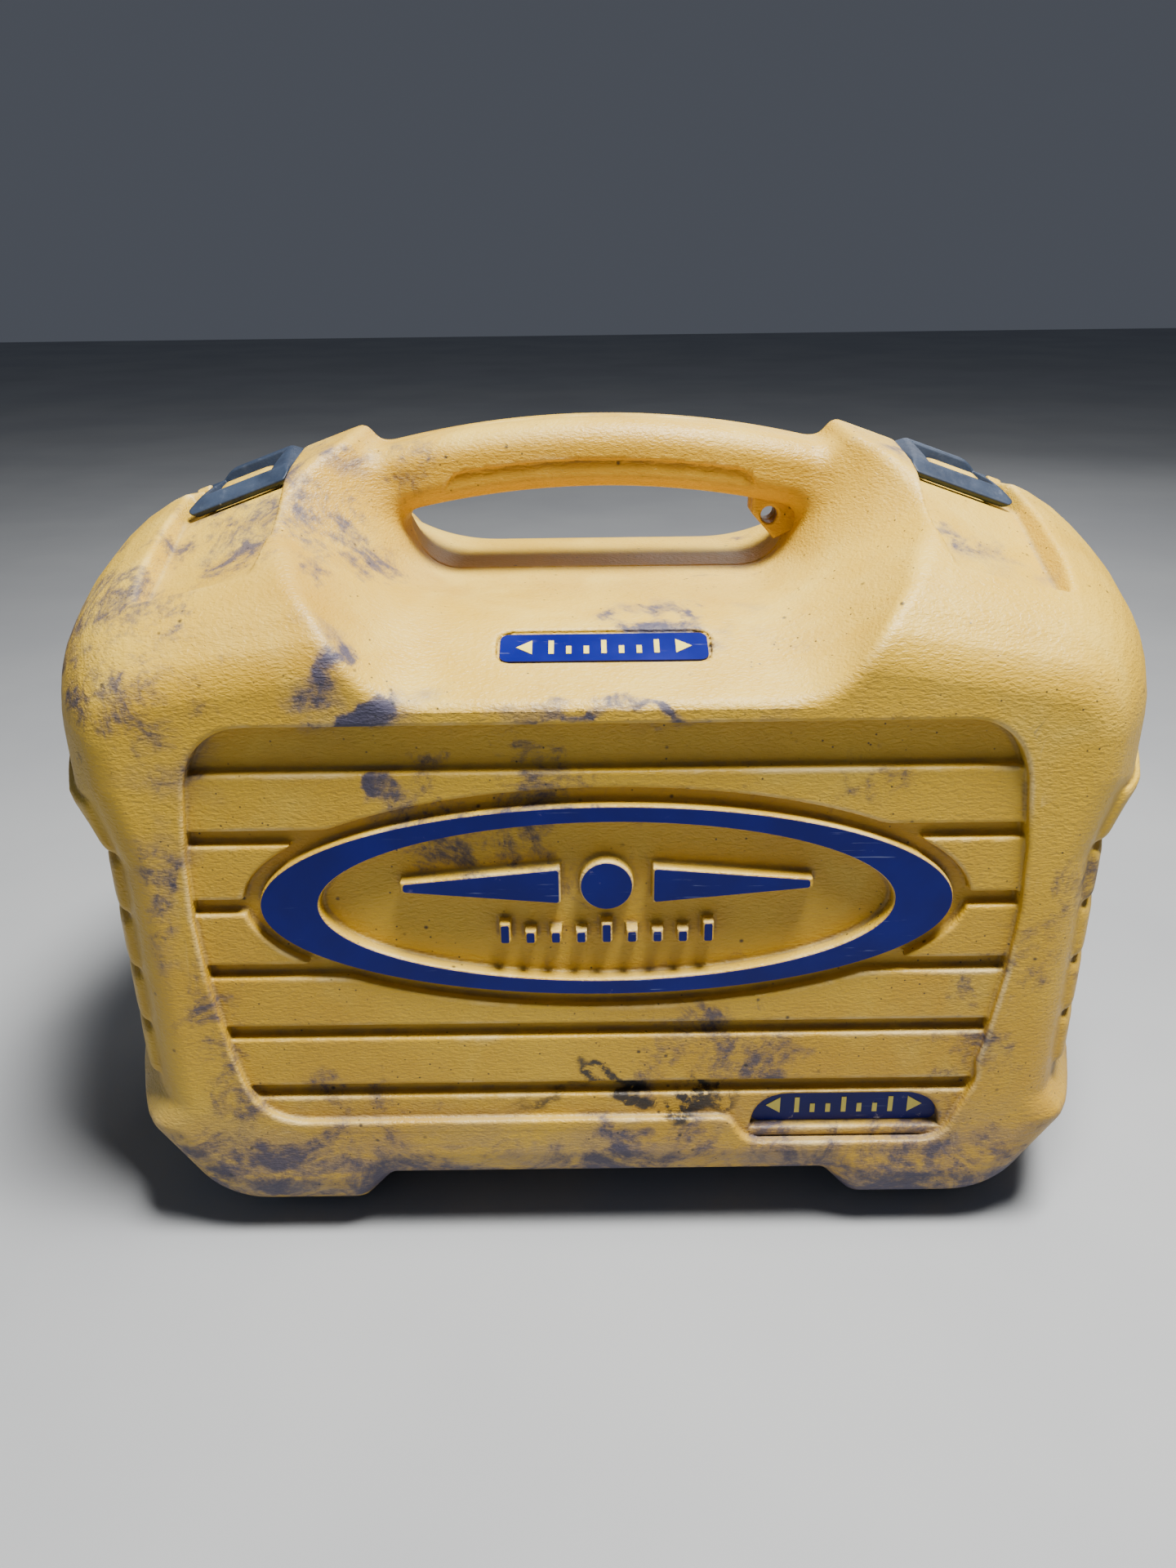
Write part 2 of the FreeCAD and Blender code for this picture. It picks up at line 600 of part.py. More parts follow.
def laser_feet():
    return [rod(6.0, (40 * math.cos(a), 40 * math.sin(a), -3), (40 * math.cos(a), 40 * math.sin(a), 0))
            for a in (math.radians(90 + 120 * i) for i in range(3))]


def lantern_cap():
    top = LANTERN_TOP + 10
    cap = rod(LANTERN_R + 3, (0, 0, LANTERN_TOP), (0, 0, top))
    return cap.makeFillet(4.0, [e for e in cap.Edges if e.BoundBox.ZMin > top - 0.1])


def carry_handle():
    """The arch over the lantern, footed on the shoulders of the housing."""
    outside = rounded(both_sides([(57.0, HOUSING_TOP - 9, 1), (50.0, LASER_TOP, 20)]), -8.0)
    inside = rounded(both_sides([(45.0, HOUSING_TOP - 10, 1), (42.5, LASER_TOP - 14, 9)]), -9.0)
    arch = prism(outside, 16.0).cut(prism(inside, 18.0))
    return arch.cut(square_bar(HOUSING, HOUSING_R, HOUSING_LOW, HOUSING_TOP - 0.001))


def rotor_head():
    """The turning head: a drum on a hollow shaft, with a window for the beam."""
    head = fuse([rod(20.0, (0, 0, 133), (0, 0, 159)), rod(5.0, (0, 0, 100), (0, 0, 134))])
    head = head.cut(rod(8.0, (0, 0, 146), (0, -30, 146))).cut(rod(2.5, (0, 0, 99), (0, 0, 140)))
    return head.cut(box(-10, 10, -10, 10, 136, 156))


def rotor_prism():
    return box(-10, 10, -10, 10, 136, 156)


def rotor_bearing():
    return tube(13.0, 5.0 + PIN_PLAY, 118, 125)


def rotor_motor():
    return fuse([tube(24.0, 13.0, 108, 125), tube(24.0, 5.5, 99.5, 108)])


def levelling_frame():
    """The cross-bar inside the housing that the motor and the laser module hang from."""
    bar = square_bar(HOUSING - 2 * HOUSING_WALL, HOUSING_R - HOUSING_WALL, 92, 99.5)
    bar = bar.cut(rod(10.0, (0, 0, 90), (0, 0, 101)))
    return bar.cut(box(-60, 60, -60, -28, 90, 101)).cut(box(-60, 60, 28, 60, 90, 101))


def laser_module():
    return fuse([rod(10.0, (0, 0, 40), (0, 0, 96)), rod(4.0, (0, 0, 96), (0, 0, 99))])


def battery_pack():
    pack = box(-28, 28, 20, 47, 28, 90)
    return pack.makeFillet(4.0, [e for e in pack.Edges if e.BoundBox.ZLength > 60])


def battery_cover():
    cover = box(-32.6, 32.6, HOUSING / 2 - 2, HOUSING / 2 + 1.5, 22.4, 99.6)
    cover = cover.makeFillet(4.0, [e for e in cover.Edges if e.BoundBox.YLength > 3])
    return cover.cut(rod(5.05, (0, 40, 88), (0, 80, 88)))


def battery_knob():
    y = HOUSING / 2
    knob = fuse([rod(5.0, (0, y - 6, 88), (0, y + 1.7, 88)), rod(9.0, (0, y + 1.7, 88), (0, y + 3.2, 88)),
                 box(-8, 8, y + 3.2, y + 5.2, 86.5, 89.5)])
    return knob


def keypad_panel():
    y = -HOUSING / 2
    panel = box(-35.7, 35.7, y - 0.5, y + 2, 28.3, 101.7)
    panel = panel.makeFillet(4.0, [e for e in panel.Edges if e.BoundBox.YLength > 2])
    for x, z in KEYS.values():
        panel = panel.cut(rod(KEY_R + KEY_PLAY, (x, y - 5, z), (x, y + 5, z)))
    for x in LAMPS:
        panel = panel.cut(rod(1.7, (x, y - 5, LAMP_Z), (x, y + 5, LAMP_Z)))
    return panel


def keypad_key(x, z):
    y = -HOUSING / 2
    cap = rod(KEY_R, (x, y - 2.2, z), (x, y + 4, z))
    return cap.makeFillet(0.8, [e for e in cap.Edges if e.BoundBox.YMax < y - 2.1])


def indicator_lamps():
    y = -HOUSING / 2
    return [rod(1.6, (x, y - 0.8, LAMP_Z), (x, y + 4, LAMP_Z)) for x in LAMPS]


def control_board():
    y = -HOUSING / 2
    board = box(-31, 31, y + 6.5, y + 8.1, 34, 99)
    chips = [box(x - 6, x + 6, y + 8.1, y + 10.5, z - 6, z + 6) for x, z in ((-15, 50), (12, 58), (0, 80))]
    return fuse([board, *chips])


# ---------------------------------------------------------------- the receiver
def place_receiver(shape):
    placed = shape.copy()
    placed.translate(Vector(RECEIVER_X, RECEIVER_Y, RECEIVER_Z))
    return placed


def receiver_block(y0, y1):
    half_w, half_h = RECEIVER_W / 2, RECEIVER_H / 2
    block = box(-half_w, half_w, y0, y1, -half_h, half_h)
    return block.makeFillet(10.0, [e for e in block.Edges if e.BoundBox.YLength > y1 - y0 - 0.1])


def receiver_front_shell():
    split = RECEIVER_T * 0.45
    body = receiver_block(0, split)
    rim = [e for e in body.Edges if e.BoundBox.YMax < 0.1]
    body = body.makeFillet(3.0, rim)
    body = body.cut(box(-30, 30, 4, split + 1, -68, 68))
    body = body.cut(box(-26, 26, -1, 5, 12, 42)).cut(box(-10, 10, -1, 5, 49, 67))
    for x in (-16, 16):
        body = body.cut(rod(6.3, (x, -1, -12), (x, 5, -12)))
    return body


def receiver_back_shell():
    split = RECEIVER_T * 0.45
    body = receiver_block(split, RECEIVER_T)
    rim = [e for e in body.Edges if e.BoundBox.YMin > RECEIVER_T - 0.1]
    return body.makeFillet(3.0, rim).cut(box(-30, 30, split - 1, RECEIVER_T - 4, -68, 68))


def receiver_window():
    return box(-9.8, 9.8, 0.8, 4, 49.2, 66.8)


def receiver_display():
    return box(-25.8, 25.8, 1.0, 4, 12.2, 41.8)


def receiver_key(x):
    cap = rod(6.0, (x, -1.2, -12), (x, 6, -12))
    return cap.makeFillet(0.7, [e for e in cap.Edges if e.BoundBox.YMax < -1.1])


# ---------------------------------------------------------------- foam
def laser_pocket():
    """The room that both foam inserts leave for the instrument."""
    barrel = box(-62, 62, -66, 66, -5, 128)
    barrel = barrel.makeFillet(18.0, [e for e in barrel.Edges if e.BoundBox.ZLength > 100])
    head = box(-60, 60, -46, 46, 126, LASER_TOP + 3)
    head = head.makeFillet(14.0, [e for e in head.Edges if e.BoundBox.ZLength > 60])
    return lay_down(barrel.fuse(head))


def receiver_pocket():
    half_w, half_h = RECEIVER_W / 2 + 1.5, RECEIVER_H / 2 + 1.5
    pocket = box(-half_w, half_w, -20, RECEIVER_T + 1, -half_h, half_h)
    finger = rod(14.0, (0, -20, -half_h), (0, 20, -half_h))
    return place_receiver(pocket.fuse(finger))


def lid_foam():
    block = cavity(FOAM_PLAY, mouth_past=0.0)
    return block.cut(box(-300, 300, -0.6, 1, -50, 350)).cut(laser_pocket())


def base_foam():
    block = mirror_y(cavity(FOAM_PLAY, mouth_past=0.0))
    return block.cut(box(-300, 300, -1, 0.6, -50, 350)).cut(laser_pocket()).cut(receiver_pocket())


# ---------------------------------------------------------------- all sub-parts
def case_parts():
    plate_flat = plate(PLATE_W, PLATE_H, PLATE_T, 3.0)
    film = [s for s in emblem(EMBLEM_RISE + FILM, 0.6)]
    lift = Vector(0, -PLATE_T, 0)
    marks = Part.makeCompound(plate_marks())
    marks.translate(lift)
    yield "lid_shell", lid_shell()
    yield "base_shell", base_shell()
    yield "lid_foam", lid_foam()
    yield "base_foam", base_foam()
    yield "emblem_film", group(film)
    yield "lower_plate", on_lower_bay(plate_flat)
    yield "lower_plate_marks", on_lower_bay(marks)
    yield "upper_plate", on_scoop_slope(plate_flat, 1.5)
    yield "upper_plate_marks", on_scoop_slope(marks, 1.5)
    for name, solid in (("latch", latch()), ("latch_pin", latch_pin_solid(0.0)), ("hinge_pin", hinge_pin())):
        yield name + "_right", solid
        yield name + "_left", mirror_x(solid)


def instrument_parts():
    yield "laser_housing", laser_housing()
    yield "laser_base_plate", laser_base_plate()
    yield "laser_tripod_bush", tripod_bush()
    yield "laser_feet", group(laser_feet())
    yield "laser_carry_handle", carry_handle()
    yield "lantern_glass", tube(LANTERN_R, LANTERN_R - LANTERN_WALL, HOUSING_TOP, LANTERN_TOP)
    yield "lantern_cap", lantern_cap()
    yield "rotor_head", rotor_head()
    yield "rotor_prism", rotor_prism()
    yield "rotor_bearing", rotor_bearing()
    yield "rotor_motor", rotor_motor()
    yield "levelling_frame", levelling_frame()
    yield "laser_module", laser_module()
    yield "battery_pack", battery_pack()
    yield "battery_cover", battery_cover()
    yield "battery_knob", battery_knob()
    yield "keypad_panel", keypad_panel()
    yield "keypad_lamps", group(indicator_lamps())
    yield "control_board", control_board()
    for name, (x, z) in KEYS.items():
        yield "key_" + name, keypad_key(x, z)


def receiver_parts():
    yield "receiver_front_shell", receiver_front_shell()
    yield "receiver_back_shell", receiver_back_shell()
    yield "receiver_window", receiver_window()
    yield "receiver_display", receiver_display()
    yield "receiver_key_power", receiver_key(-16)
    yield "receiver_key_tone", receiver_key(16)


def main():
    os.makedirs(OUT, exist_ok=True)
    for name, shape in case_parts():
        add(name, shape)
    for name, shape in instrument_parts():
        add(name, lay_down(shape))
    for name, shape in receiver_parts():
        add(name, place_receiver(shape))


main()
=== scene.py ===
"""The looks of a hard carrying case for a rotating laser level, built around its CAD frame.

Lengths named in this file are millimetres, and MM turns them into Blender's metres.
X runs across the case, -Y is the lid's side, +Y the base's, Z is up and Y = 0 is the parting plane.
"""
import json
import math
from functools import partial

import bpy
import numpy as np
from mathutils import Matrix, Vector


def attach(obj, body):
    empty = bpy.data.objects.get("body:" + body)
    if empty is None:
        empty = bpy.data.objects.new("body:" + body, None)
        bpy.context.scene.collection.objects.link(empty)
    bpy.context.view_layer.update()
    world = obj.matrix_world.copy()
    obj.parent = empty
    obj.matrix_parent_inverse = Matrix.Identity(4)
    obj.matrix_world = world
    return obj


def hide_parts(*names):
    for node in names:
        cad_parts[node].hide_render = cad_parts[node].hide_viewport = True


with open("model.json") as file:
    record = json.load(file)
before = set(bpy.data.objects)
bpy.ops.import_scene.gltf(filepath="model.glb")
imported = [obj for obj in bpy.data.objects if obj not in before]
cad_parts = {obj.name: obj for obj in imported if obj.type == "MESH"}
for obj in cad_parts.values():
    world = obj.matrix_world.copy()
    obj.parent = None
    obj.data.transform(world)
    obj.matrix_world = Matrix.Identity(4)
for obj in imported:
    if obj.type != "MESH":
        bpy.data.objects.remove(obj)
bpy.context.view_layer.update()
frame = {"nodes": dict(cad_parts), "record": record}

MM = 0.001


# ---- sizes, as in the CAD
HALF_DEPTH = 109.0
PART_GAP = 0.15
CREST_X, CREST_Z = 88.0, 299.5
FOOT_IN, BELLY_LIFT = 98.0, 14.0
SCOOP_FLOOR, SCOOP_FLAT, SCOOP_FACE_Z = 243.0, 60.0, 223.0
GRIP_TOP, GRIP_TOP_END, GRIP_UNDER, GRIP_UNDER_END = 301.0, 290.0, 276.0, 264.0
GRIP_END_X, GRIP_HALF_DEPTH, GRIP_ROUND = 88.0, 17.0, 10.0
PAD_HALF, PAD_ROUND, PAD_FLOOR = 52.0, 6.0, 15.6
EYE_X, EYE_Z, EYE_R, EYE_HALF = 65.4, 264.0, 3.25, 8.0
HINGE_Z, FOOT_NOTCH = 7.0, 9.0
LATCH_X, LATCH_Z, LATCH_TILT = 134.0, 273.3, math.radians(19.5)
LATCH_HALF, LATCH_EDGE, LATCH_HIGH, LATCH_FRONT_HIGH, LATCH_LIFT = 21.0, 23.0, 11.0, 7.6, 0.8
LATCH_BAR, WINDOW_HALF = 10.0, 12.5
LUG_HALF, LUG_REACH, LUG_TOP, LUG_GAP, LUG_ROOT = 11.0, 9.0, 7.6, 0.4, 0.6
LATCH_PIN_Y, LATCH_PIN_UP, LATCH_KNUCKLE, LATCH_BOSS = 19.0, 4.2, 3.4, 3.6
RECESS_HALF, RECESS_FLAT, RECESS_REACH = 22.5, 24.0, 80.0
HINGE_X, KNUCKLE_R, KNUCKLE_W, KNUCKLE_GAP, PIN_R = 60.0, 6.0, 13.0, 0.3, 2.5
HINGE_ROOM_IN, HINGE_ROOM_OUT, HINGE_ROOM_R = 39.5, 80.5, 6.6
LASER_FOOT_X, LASER_Z = -157.0, 126.0
RECEIVER_X, RECEIVER_Z = 128.0, 118.0
PANEL_DEEP, RIB_RISE = 8.0, 4.5
PANEL_TOP, PANEL_BOTTOM = 217.0, 56.0
RIB_PITCH, RIB_HIGH, RIB_FIRST, RIB_COUNT = 26.7, 21.0, 199.0, 6
OVAL_Z, OVAL_A, OVAL_B, OVAL_MOAT = 149.0, 121.5, 37.8, 6.0
OVAL_BAND_SIDE, OVAL_BAND_TOP = 21.0, 6.5
EMBLEM_RISE = 5.5
BEAM_UP, BEAM_IN, BEAM_OUT, HUB_R = 7.0, 16.0, 72.0, 9.5
TICK_DOWN, TICK_PITCH, TICK_HALF, TICK_TALL, TICK_SHORT = 16.0, 9.0, 2.0, 8.0, 5.0
PLATE_W, PLATE_H, PLATE_X, PLATE_Z = 71.0, 14.2, 91.0, 56.5
TOP_PLATE_Y = 80.0
SIDE_RIBS, RIB_SIDE_LOW, RIB_SIDE_TOP, RIB_PROUD, RIB_REACH = 5, 70.0, 188.0, 3.6, 211.5
CAVITY_DEPTH = 96.0
UNDER_PANEL = 2.0        # the moulding's own floor lies this far under the ribbed panel's
PANEL_BACK = 4.4         # how far the panel reaches into the wall behind it
RIM_CUT, RIM_WIDE = 1.5, 4.5      # the panel's piece carries its rim, over the moulding's wider cut
FACE_IN, RIM_IN = 0.1, 0.05       # how far the moulding's face and the rim stay inside the CAD's depth
WEB_OFF = 0.06           # keeps a tab or web clear of the parting face that it would share


# ---- distance fields, in millimetres
def smooth_max(a, b, r):
    """The larger of two fields, with the edge between them rounded by about r."""
    h = np.clip(r - np.abs(a - b), 0.0, None) / r
    return np.maximum(a, b) + h * h * r * 0.25


def smooth_min(a, b, r):
    return -smooth_max(-a, -b, r)


def slab(value, low, high):
    """Negative between low and high."""
    return np.maximum(low - value, value - high)


def rounded_box(qa, qb, r):
    """Distance to a box with corners of radius r; qa and qb are distances past its inner, sharp box."""
    return np.sqrt(np.maximum(qa, 0) ** 2 + np.maximum(qb, 0) ** 2) + np.minimum(np.maximum(qa, qb), 0) - r


def rounded_corners(points, steps=10):
    """A closed outline of (x, z, corner radius) points, with each corner turned into an arc."""
    out = []
    count = len(points)
    for i, (x, z, radius) in enumerate(points):
        here = np.array([x, z])
        back = np.array(points[i - 1][:2]) - here
        on = np.array(points[(i + 1) % count][:2]) - here
        back = back / np.linalg.norm(back)
        on = on / np.linalg.norm(on)
        turn = math.pi - math.acos(float(np.clip(back @ on, -1, 1)))
        inward = (back + on) / np.linalg.norm(back + on)
        middle = here + inward * radius / math.cos(turn / 2)
        a = here + back * radius * math.tan(turn / 2) - middle
        b = here + on * radius * math.tan(turn / 2) - middle
        start = math.atan2(a[1], a[0])
        sweep = (math.atan2(b[1], b[0]) - start + math.pi) % (2 * math.pi) - math.pi
        for s in np.linspace(0, 1, steps):
            angle = start + sweep * s
            out.append(middle + radius * np.array([math.cos(angle), math.sin(angle)]))
    return np.array(out)


def outline_distance(points, x, z):
    """Signed distance from (x, z) to a closed outline, negative inside."""
    near = np.full(x.shape, 1e9)
    inside = np.zeros(x.shape, bool)
    for (ax, az), (bx, bz) in zip(points, np.roll(points, -1, axis=0)):
        ex, ez = bx - ax, bz - az
        length = ex * ex + ez * ez
        if length < 1e-12:
            continue
        t = np.clip(((x - ax) * ex + (z - az) * ez) / length, 0, 1)
        near = np.minimum(near, (x - ax - t * ex) ** 2 + (z - az - t * ez) ** 2)
        if az != bz:
            inside ^= ((z < az) != (z < bz)) & (x < ax + (z - az) * ex / ez)
    near = np.sqrt(near)
    return np.where(inside, -near, near)


# The outline of a shell at six depths from the parting plane, as in the CAD.
STATION = np.array([PART_GAP, 30.0, 60.0, 88.0, 104.0, 109.0])
FALL = (213.0 - CREST_X) * math.tan(LATCH_TILT)
STATION_VALUES = {
    "lift": [0.0, 0.0, 0.0, 3.0, 14.0, 23.0],
    "foot": [168.0, 167.0, 163.0, 156.0, 152.0, 147.0],
    "foot_r": [34.0, 35.0, 36.0, 36.0, 30.0, 24.0],
    "bump": [206.0, 201.0, 194.0, 184.0, 177.0, 171.0],
    "waist": [201.0, 195.0, 186.0, 176.0, 167.0, 162.0],
    "half": [213.0, 208.0, 197.5, 186.0, 174.0, 168.0],
    "top": [CREST_Z - FALL, 252.0, 250.0, 243.0, 233.0, 226.0],
    "top_r": [86.0, 80.0, 55.0, 42.0, 30.0, 22.0],
    "crest": [CREST_Z, 296.5, 279.0, 263.0, 249.0, 240.0],
    "rise": [0.0, 0.0, 0.0, 0.0, 8.0, 8.0],
}
SMOOTHING = 7.0


def at_depth(name, y):
    """A station value at depth y, averaged over a short stretch so that no facet edge shows."""
    window = np.linspace(-SMOOTHING, SMOOTHING, 9)
    depth = np.clip(y + window * min(1.0, (HALF_DEPTH - y) / SMOOTHING, (y + 0.5) / SMOOTHING), 0, HALF_DEPTH)
    return float(np.mean(np.interp(depth, STATION, STATION_VALUES[name])))


def shell_outline(y):
    v = {name: at_depth(name, y) for name in STATION_VALUES}
    half = [
        (FOOT_IN - 12, BELLY_LIFT + 0.9 * v["lift"], 6), (FOOT_IN, v["lift"], 8),
        (v["foot"], v["lift"], v["foot_r"]), (v["bump"], 54.0, 4), (v["waist"], 64.0, 5),
        (v["waist"], 164.0, 16), (v["half"], 186.0 + v["rise"], 5), (v["half"], v["top"], v["top_r"]),
        (CREST_X, v["crest"], 14),
    ]
    return rounded_corners(half + [(-x, z, r) for x, z, r in reversed(half)])


class OutlineTable:
    """The outline's distance field sampled over x, z and depth, read back by interpolation."""
    STEP, LOWEST = 1.5, -12.0

    def __init__(self):
        self.depths = np.concatenate([[0.0], np.arange(10.0, 83.0, 8.0),
                                      [89.0, 94.0, 98.0, 102.0, 105.0, 107.0, 109.0, 112.0]])
        self.x = np.arange(0, 231, self.STEP)
        self.z = np.arange(self.LOWEST, 316, self.STEP)
        gx, gz = np.meshgrid(self.x, self.z, indexing="ij")
        layers = []
        for y in self.depths:
            points = shell_outline(min(y, HALF_DEPTH))
            layers.append(outline_distance(points, gx, gz))
        self.table = np.array(layers, np.float32)

    def __call__(self, x, y, z):
        k = np.interp(y, self.depths, np.arange(len(self.depths)))
        i = np.clip(np.abs(x) / self.STEP, 0, len(self.x) - 1.001)
        j = np.clip((z - self.LOWEST) / self.STEP, 0, len(self.z) - 1.001)
        k = np.clip(k, 0, len(self.depths) - 1.001)
        k0, i0, j0 = k.astype(np.int32), i.astype(np.int32), j.astype(np.int32)
        k, i, j = k - k0, i - i0, j - j0
        t = self.table
        out = 0.0
        for dk in (0, 1):
            for di in (0, 1):
                for dj in (0, 1):
                    w = (k if dk else 1 - k) * (i if di else 1 - i) * (j if dj else 1 - j)
                    out = out + w * t[k0 + dk, i0 + di, j0 + dj]
        return out


OUTLINE = OutlineTable()


def scoop_field(x, y, z):
    """Negative inside the hand recess."""
    fall = (SCOOP_FLOOR - SCOOP_FACE_Z) / (HALF_DEPTH - SCOOP_FLAT)
    past = smooth_max(y - SCOOP_FLAT, 0.0, 16.0)
    floor = SCOOP_FLOOR - fall * past
    half = np.interp(y, [0, 60, 88, 112], [68.0, 68.0, 71.0, 73.0])
    lean = np.interp(y, [0, 18, 30, 48, 60, 88, 112], [23.5, 32.0, 51.0, 90.0, 104.0, 86.0, 58.0])
    rise = 310.0 - floor
    length = np.sqrt(lean * lean + rise * rise)
    wall = ((np.abs(x) - half) * rise - (z - floor) * lean) / length
    return smooth_max(floor - z, wall, 13.0)


def slope_axes(y, z):
    """Distances down and out of the sloping floor of the hand recess, from the upper plate's middle."""
    fall = math.atan2(SCOOP_FLOOR - SCOOP_FACE_Z, HALF_DEPTH - SCOOP_FLAT)
    dy = y - TOP_PLATE_Y
    dz = z - SCOOP_FLOOR + (TOP_PLATE_Y - SCOOP_FLAT) * math.tan(fall)
    return dy * math.cos(fall) - dz * math.sin(fall), dy * math.sin(fall) + dz * math.cos(fall)


def plate_pocket_field(x, y, z):
    """The pocket of the upper plate, sunk in the slope of the hand recess."""
    down, out = slope_axes(y, z)
    plan = smooth_max(np.abs(x) - PLATE_W / 2 - 1.2, np.abs(down) - PLATE_H / 2 - 1.2, 6.0)
    return np.maximum(np.maximum(plan, -1.5 - out), out - 9.0)


def grip_field(x, y, z):
    """Half of the handle: an arched bar with well-rounded edges."""
    t = np.clip(np.abs(x) / GRIP_END_X, 0, 1.3) ** 2
    top = GRIP_TOP - (GRIP_TOP - GRIP_TOP_END) * t
    under = GRIP_UNDER - (GRIP_UNDER - GRIP_UNDER_END) * t
    qz = np.abs(z - (top + under) / 2) - (top - under) / 2 + GRIP_ROUND
    qy = y - GRIP_HALF_DEPTH + GRIP_ROUND
    return np.maximum(rounded_box(qz, qy, GRIP_ROUND), np.abs(x) - 97.0)


def grip_pad_field(x, z):
    """The shallow sunk outline low on the front of the handle."""
    t = np.clip(np.abs(x) / GRIP_END_X, 0, 1.3) ** 2
    centre = GRIP_UNDER + 4.0 - (GRIP_UNDER - GRIP_UNDER_END) * t
    return rounded_box(np.abs(x) - PAD_HALF, np.abs(z - centre) - 1.0, PAD_ROUND)


def latch_axes(x, z):
    """Distances along and out of the latch flat, for the nearer of the two latches."""
    dx, dz = np.abs(x) - LATCH_X, z - LATCH_Z
    c, s = math.cos(LATCH_TILT), math.sin(LATCH_TILT)
    return dx * c - dz * s, dx * s + dz * c


def latch_recess_field(x, y, z):
    """Negative in the channel that a latch lies in: level under the latch, then running down the front."""
    u, n = latch_axes(x, z)
    stretch = [0, RECESS_FLAT, 60, RECESS_REACH, 120]
    floor = np.interp(y, stretch, [0.0, 0.0, -12.5, -17.5, -28.0])
    outer = np.interp(y, stretch, RECESS_HALF + np.array([0.0, 0.0, 5.0, 6.0, 6.0]))
    inner = np.interp(y, stretch, RECESS_HALF - np.array([0.0, 0.0, 6.0, 12.0, 20.0]))
    flare = np.clip(n - floor, 0, 30) * 0.22
    side = np.maximum(u - outer, -u - inner) - flare
    return smooth_max(smooth_max(side, floor - n, 1.5), y - RECESS_REACH, 4.0)


def side_rib_field(x, y, z, body):
    """The five cushion ribs on each side: bands of the wall swelled outwards."""
    pitch = (RIB_SIDE_TOP - RIB_SIDE_LOW) / SIDE_RIBS
    middle = (RIB_SIDE_TOP + RIB_SIDE_LOW) / 2
    index = np.clip(np.round((z - middle) / pitch), -(SIDE_RIBS // 2), SIDE_RIBS // 2)
    across = np.abs(z - middle - index * pitch) - (pitch / 2 - 1.4)
    proud = np.minimum(RIB_PROUD, RIB_REACH - np.abs(x))
    shape = smooth_max(body - proud, across, 4.5)
    ends = slab(y, 3.0, 98.0)
    return smooth_max(smooth_max(shape, ends, 2.5), 150.0 - np.abs(x), 2.0)


def panel_half(z):
    """Half-width of the sunk panel at height z: its sides bow outwards."""
    return np.interp(z, [40, 56, 90, 120, 145, 170, 195, 214],
                     [130.0, 132.0, 139.3, 143.4, 145.0, 144.0, 141.0, 137.0])


def plate_bay_field(x, z):
    """The drop in the panel's lower edge that holds the lower plate."""
    lean = np.abs(x - PLATE_X + 1.5) - 38.0 - (z - 44.0) * 0.35
    return smooth_max(lean, slab(z, 44.0, PANEL_BOTTOM + 20), 8.0)


def panel_sink_field(x, z, front):
    """The outline of the sunk panel; the lid's drops at the lower plate."""
    area = smooth_max(np.abs(x) - panel_half(z), slab(z, PANEL_BOTTOM, PANEL_TOP), 20.0)
    if front:
        area = smooth_min(area, plate_bay_field(x, z), 6.0)
    return area


def tab_field(x, y, z):
    """Half of the tab under the handle's right end, with the padlock eye through it."""
    outline = np.maximum(slab(x, 58.7, 84.0), z - 281.0)
    outline = np.maximum(outline, 254.0 + np.abs(x - 66.0) * 0.45 - z)
    outline = np.maximum(outline, ((65.5 - x) * 0.74 + (257.0 - z) * 0.67))
    eye = np.sqrt((x - EYE_X) ** 2 + (z - EYE_Z) ** 2) - EYE_R
    tab = smooth_max(outline, slab(y, PART_GAP + WEB_OFF, EYE_HALF), 1.6)
    return smooth_max(tab, -eye, 1.2)


def pin_distance(y, n):
    return np.sqrt((y - LATCH_PIN_Y) ** 2 + (n - LATCH_PIN_UP) ** 2)


def latch_field(u, y, n):
    """A flip latch in its own axes: u along the slope and outwards, y towards the base, n out of it."""
    rear = LATCH_PIN_Y + LATCH_KNUCKLE
    profile = [
        (-LATCH_EDGE + 1.5, LATCH_LIFT), (-LATCH_EDGE, LATCH_LIFT + 2),
        (-LATCH_EDGE + 7, LATCH_FRONT_HIGH - 0.6), (-LATCH_EDGE + LATCH_BAR, LATCH_FRONT_HIGH),
        (LATCH_EDGE - LATCH_BAR, LATCH_HIGH - 0.5), (rear - 3, LATCH_HIGH), (rear, LATCH_HIGH - 3),
        (rear, LATCH_LIFT), (-LATCH_EDGE + 1.5, LATCH_LIFT),
    ]
    body = np.full(u.shape, -99.0)
    for (ya, na), (yb, nb) in zip(profile, profile[1:]):
        length = math.hypot(yb - ya, nb - na)
        body = smooth_max(body, ((na - nb) * (y - ya) + (yb - ya) * (n - na)) / length, 0.9)
    ends = np.maximum(np.abs(u) - LATCH_HALF, (np.abs(u) - 17.6 - (n - LATCH_LIFT) * 0.95) * 0.72)
    outboard = ((u - LATCH_HALF) * 7.0 + (n - 4.0) * 12.0) / math.hypot(7.0, 12.0)
    inboard = ((-u - LATCH_HALF) * 5.0 + (n - 6.0) * 5.0) / math.hypot(5.0, 5.0)
    body = smooth_max(body, smooth_max(ends, np.maximum(outboard, inboard), 1.0), 0.9)
    slant = np.clip(n, 0, 12) * 0.16
    window = np.maximum(np.abs(u) - WINDOW_HALF - slant, np.abs(y) - (LATCH_EDGE - LATCH_BAR) - slant)
    body = smooth_max(body, -window, 0.9)
    hollow = np.maximum(LATCH_PIN_Y - y, n - LATCH_PIN_UP)
    body = np.maximum(body, -hollow)
    barrel = pin_distance(y, n) - LATCH_KNUCKLE
    return smooth_min(body, smooth_max(barrel, np.abs(u) - LATCH_HALF, 0.6), 0.8)


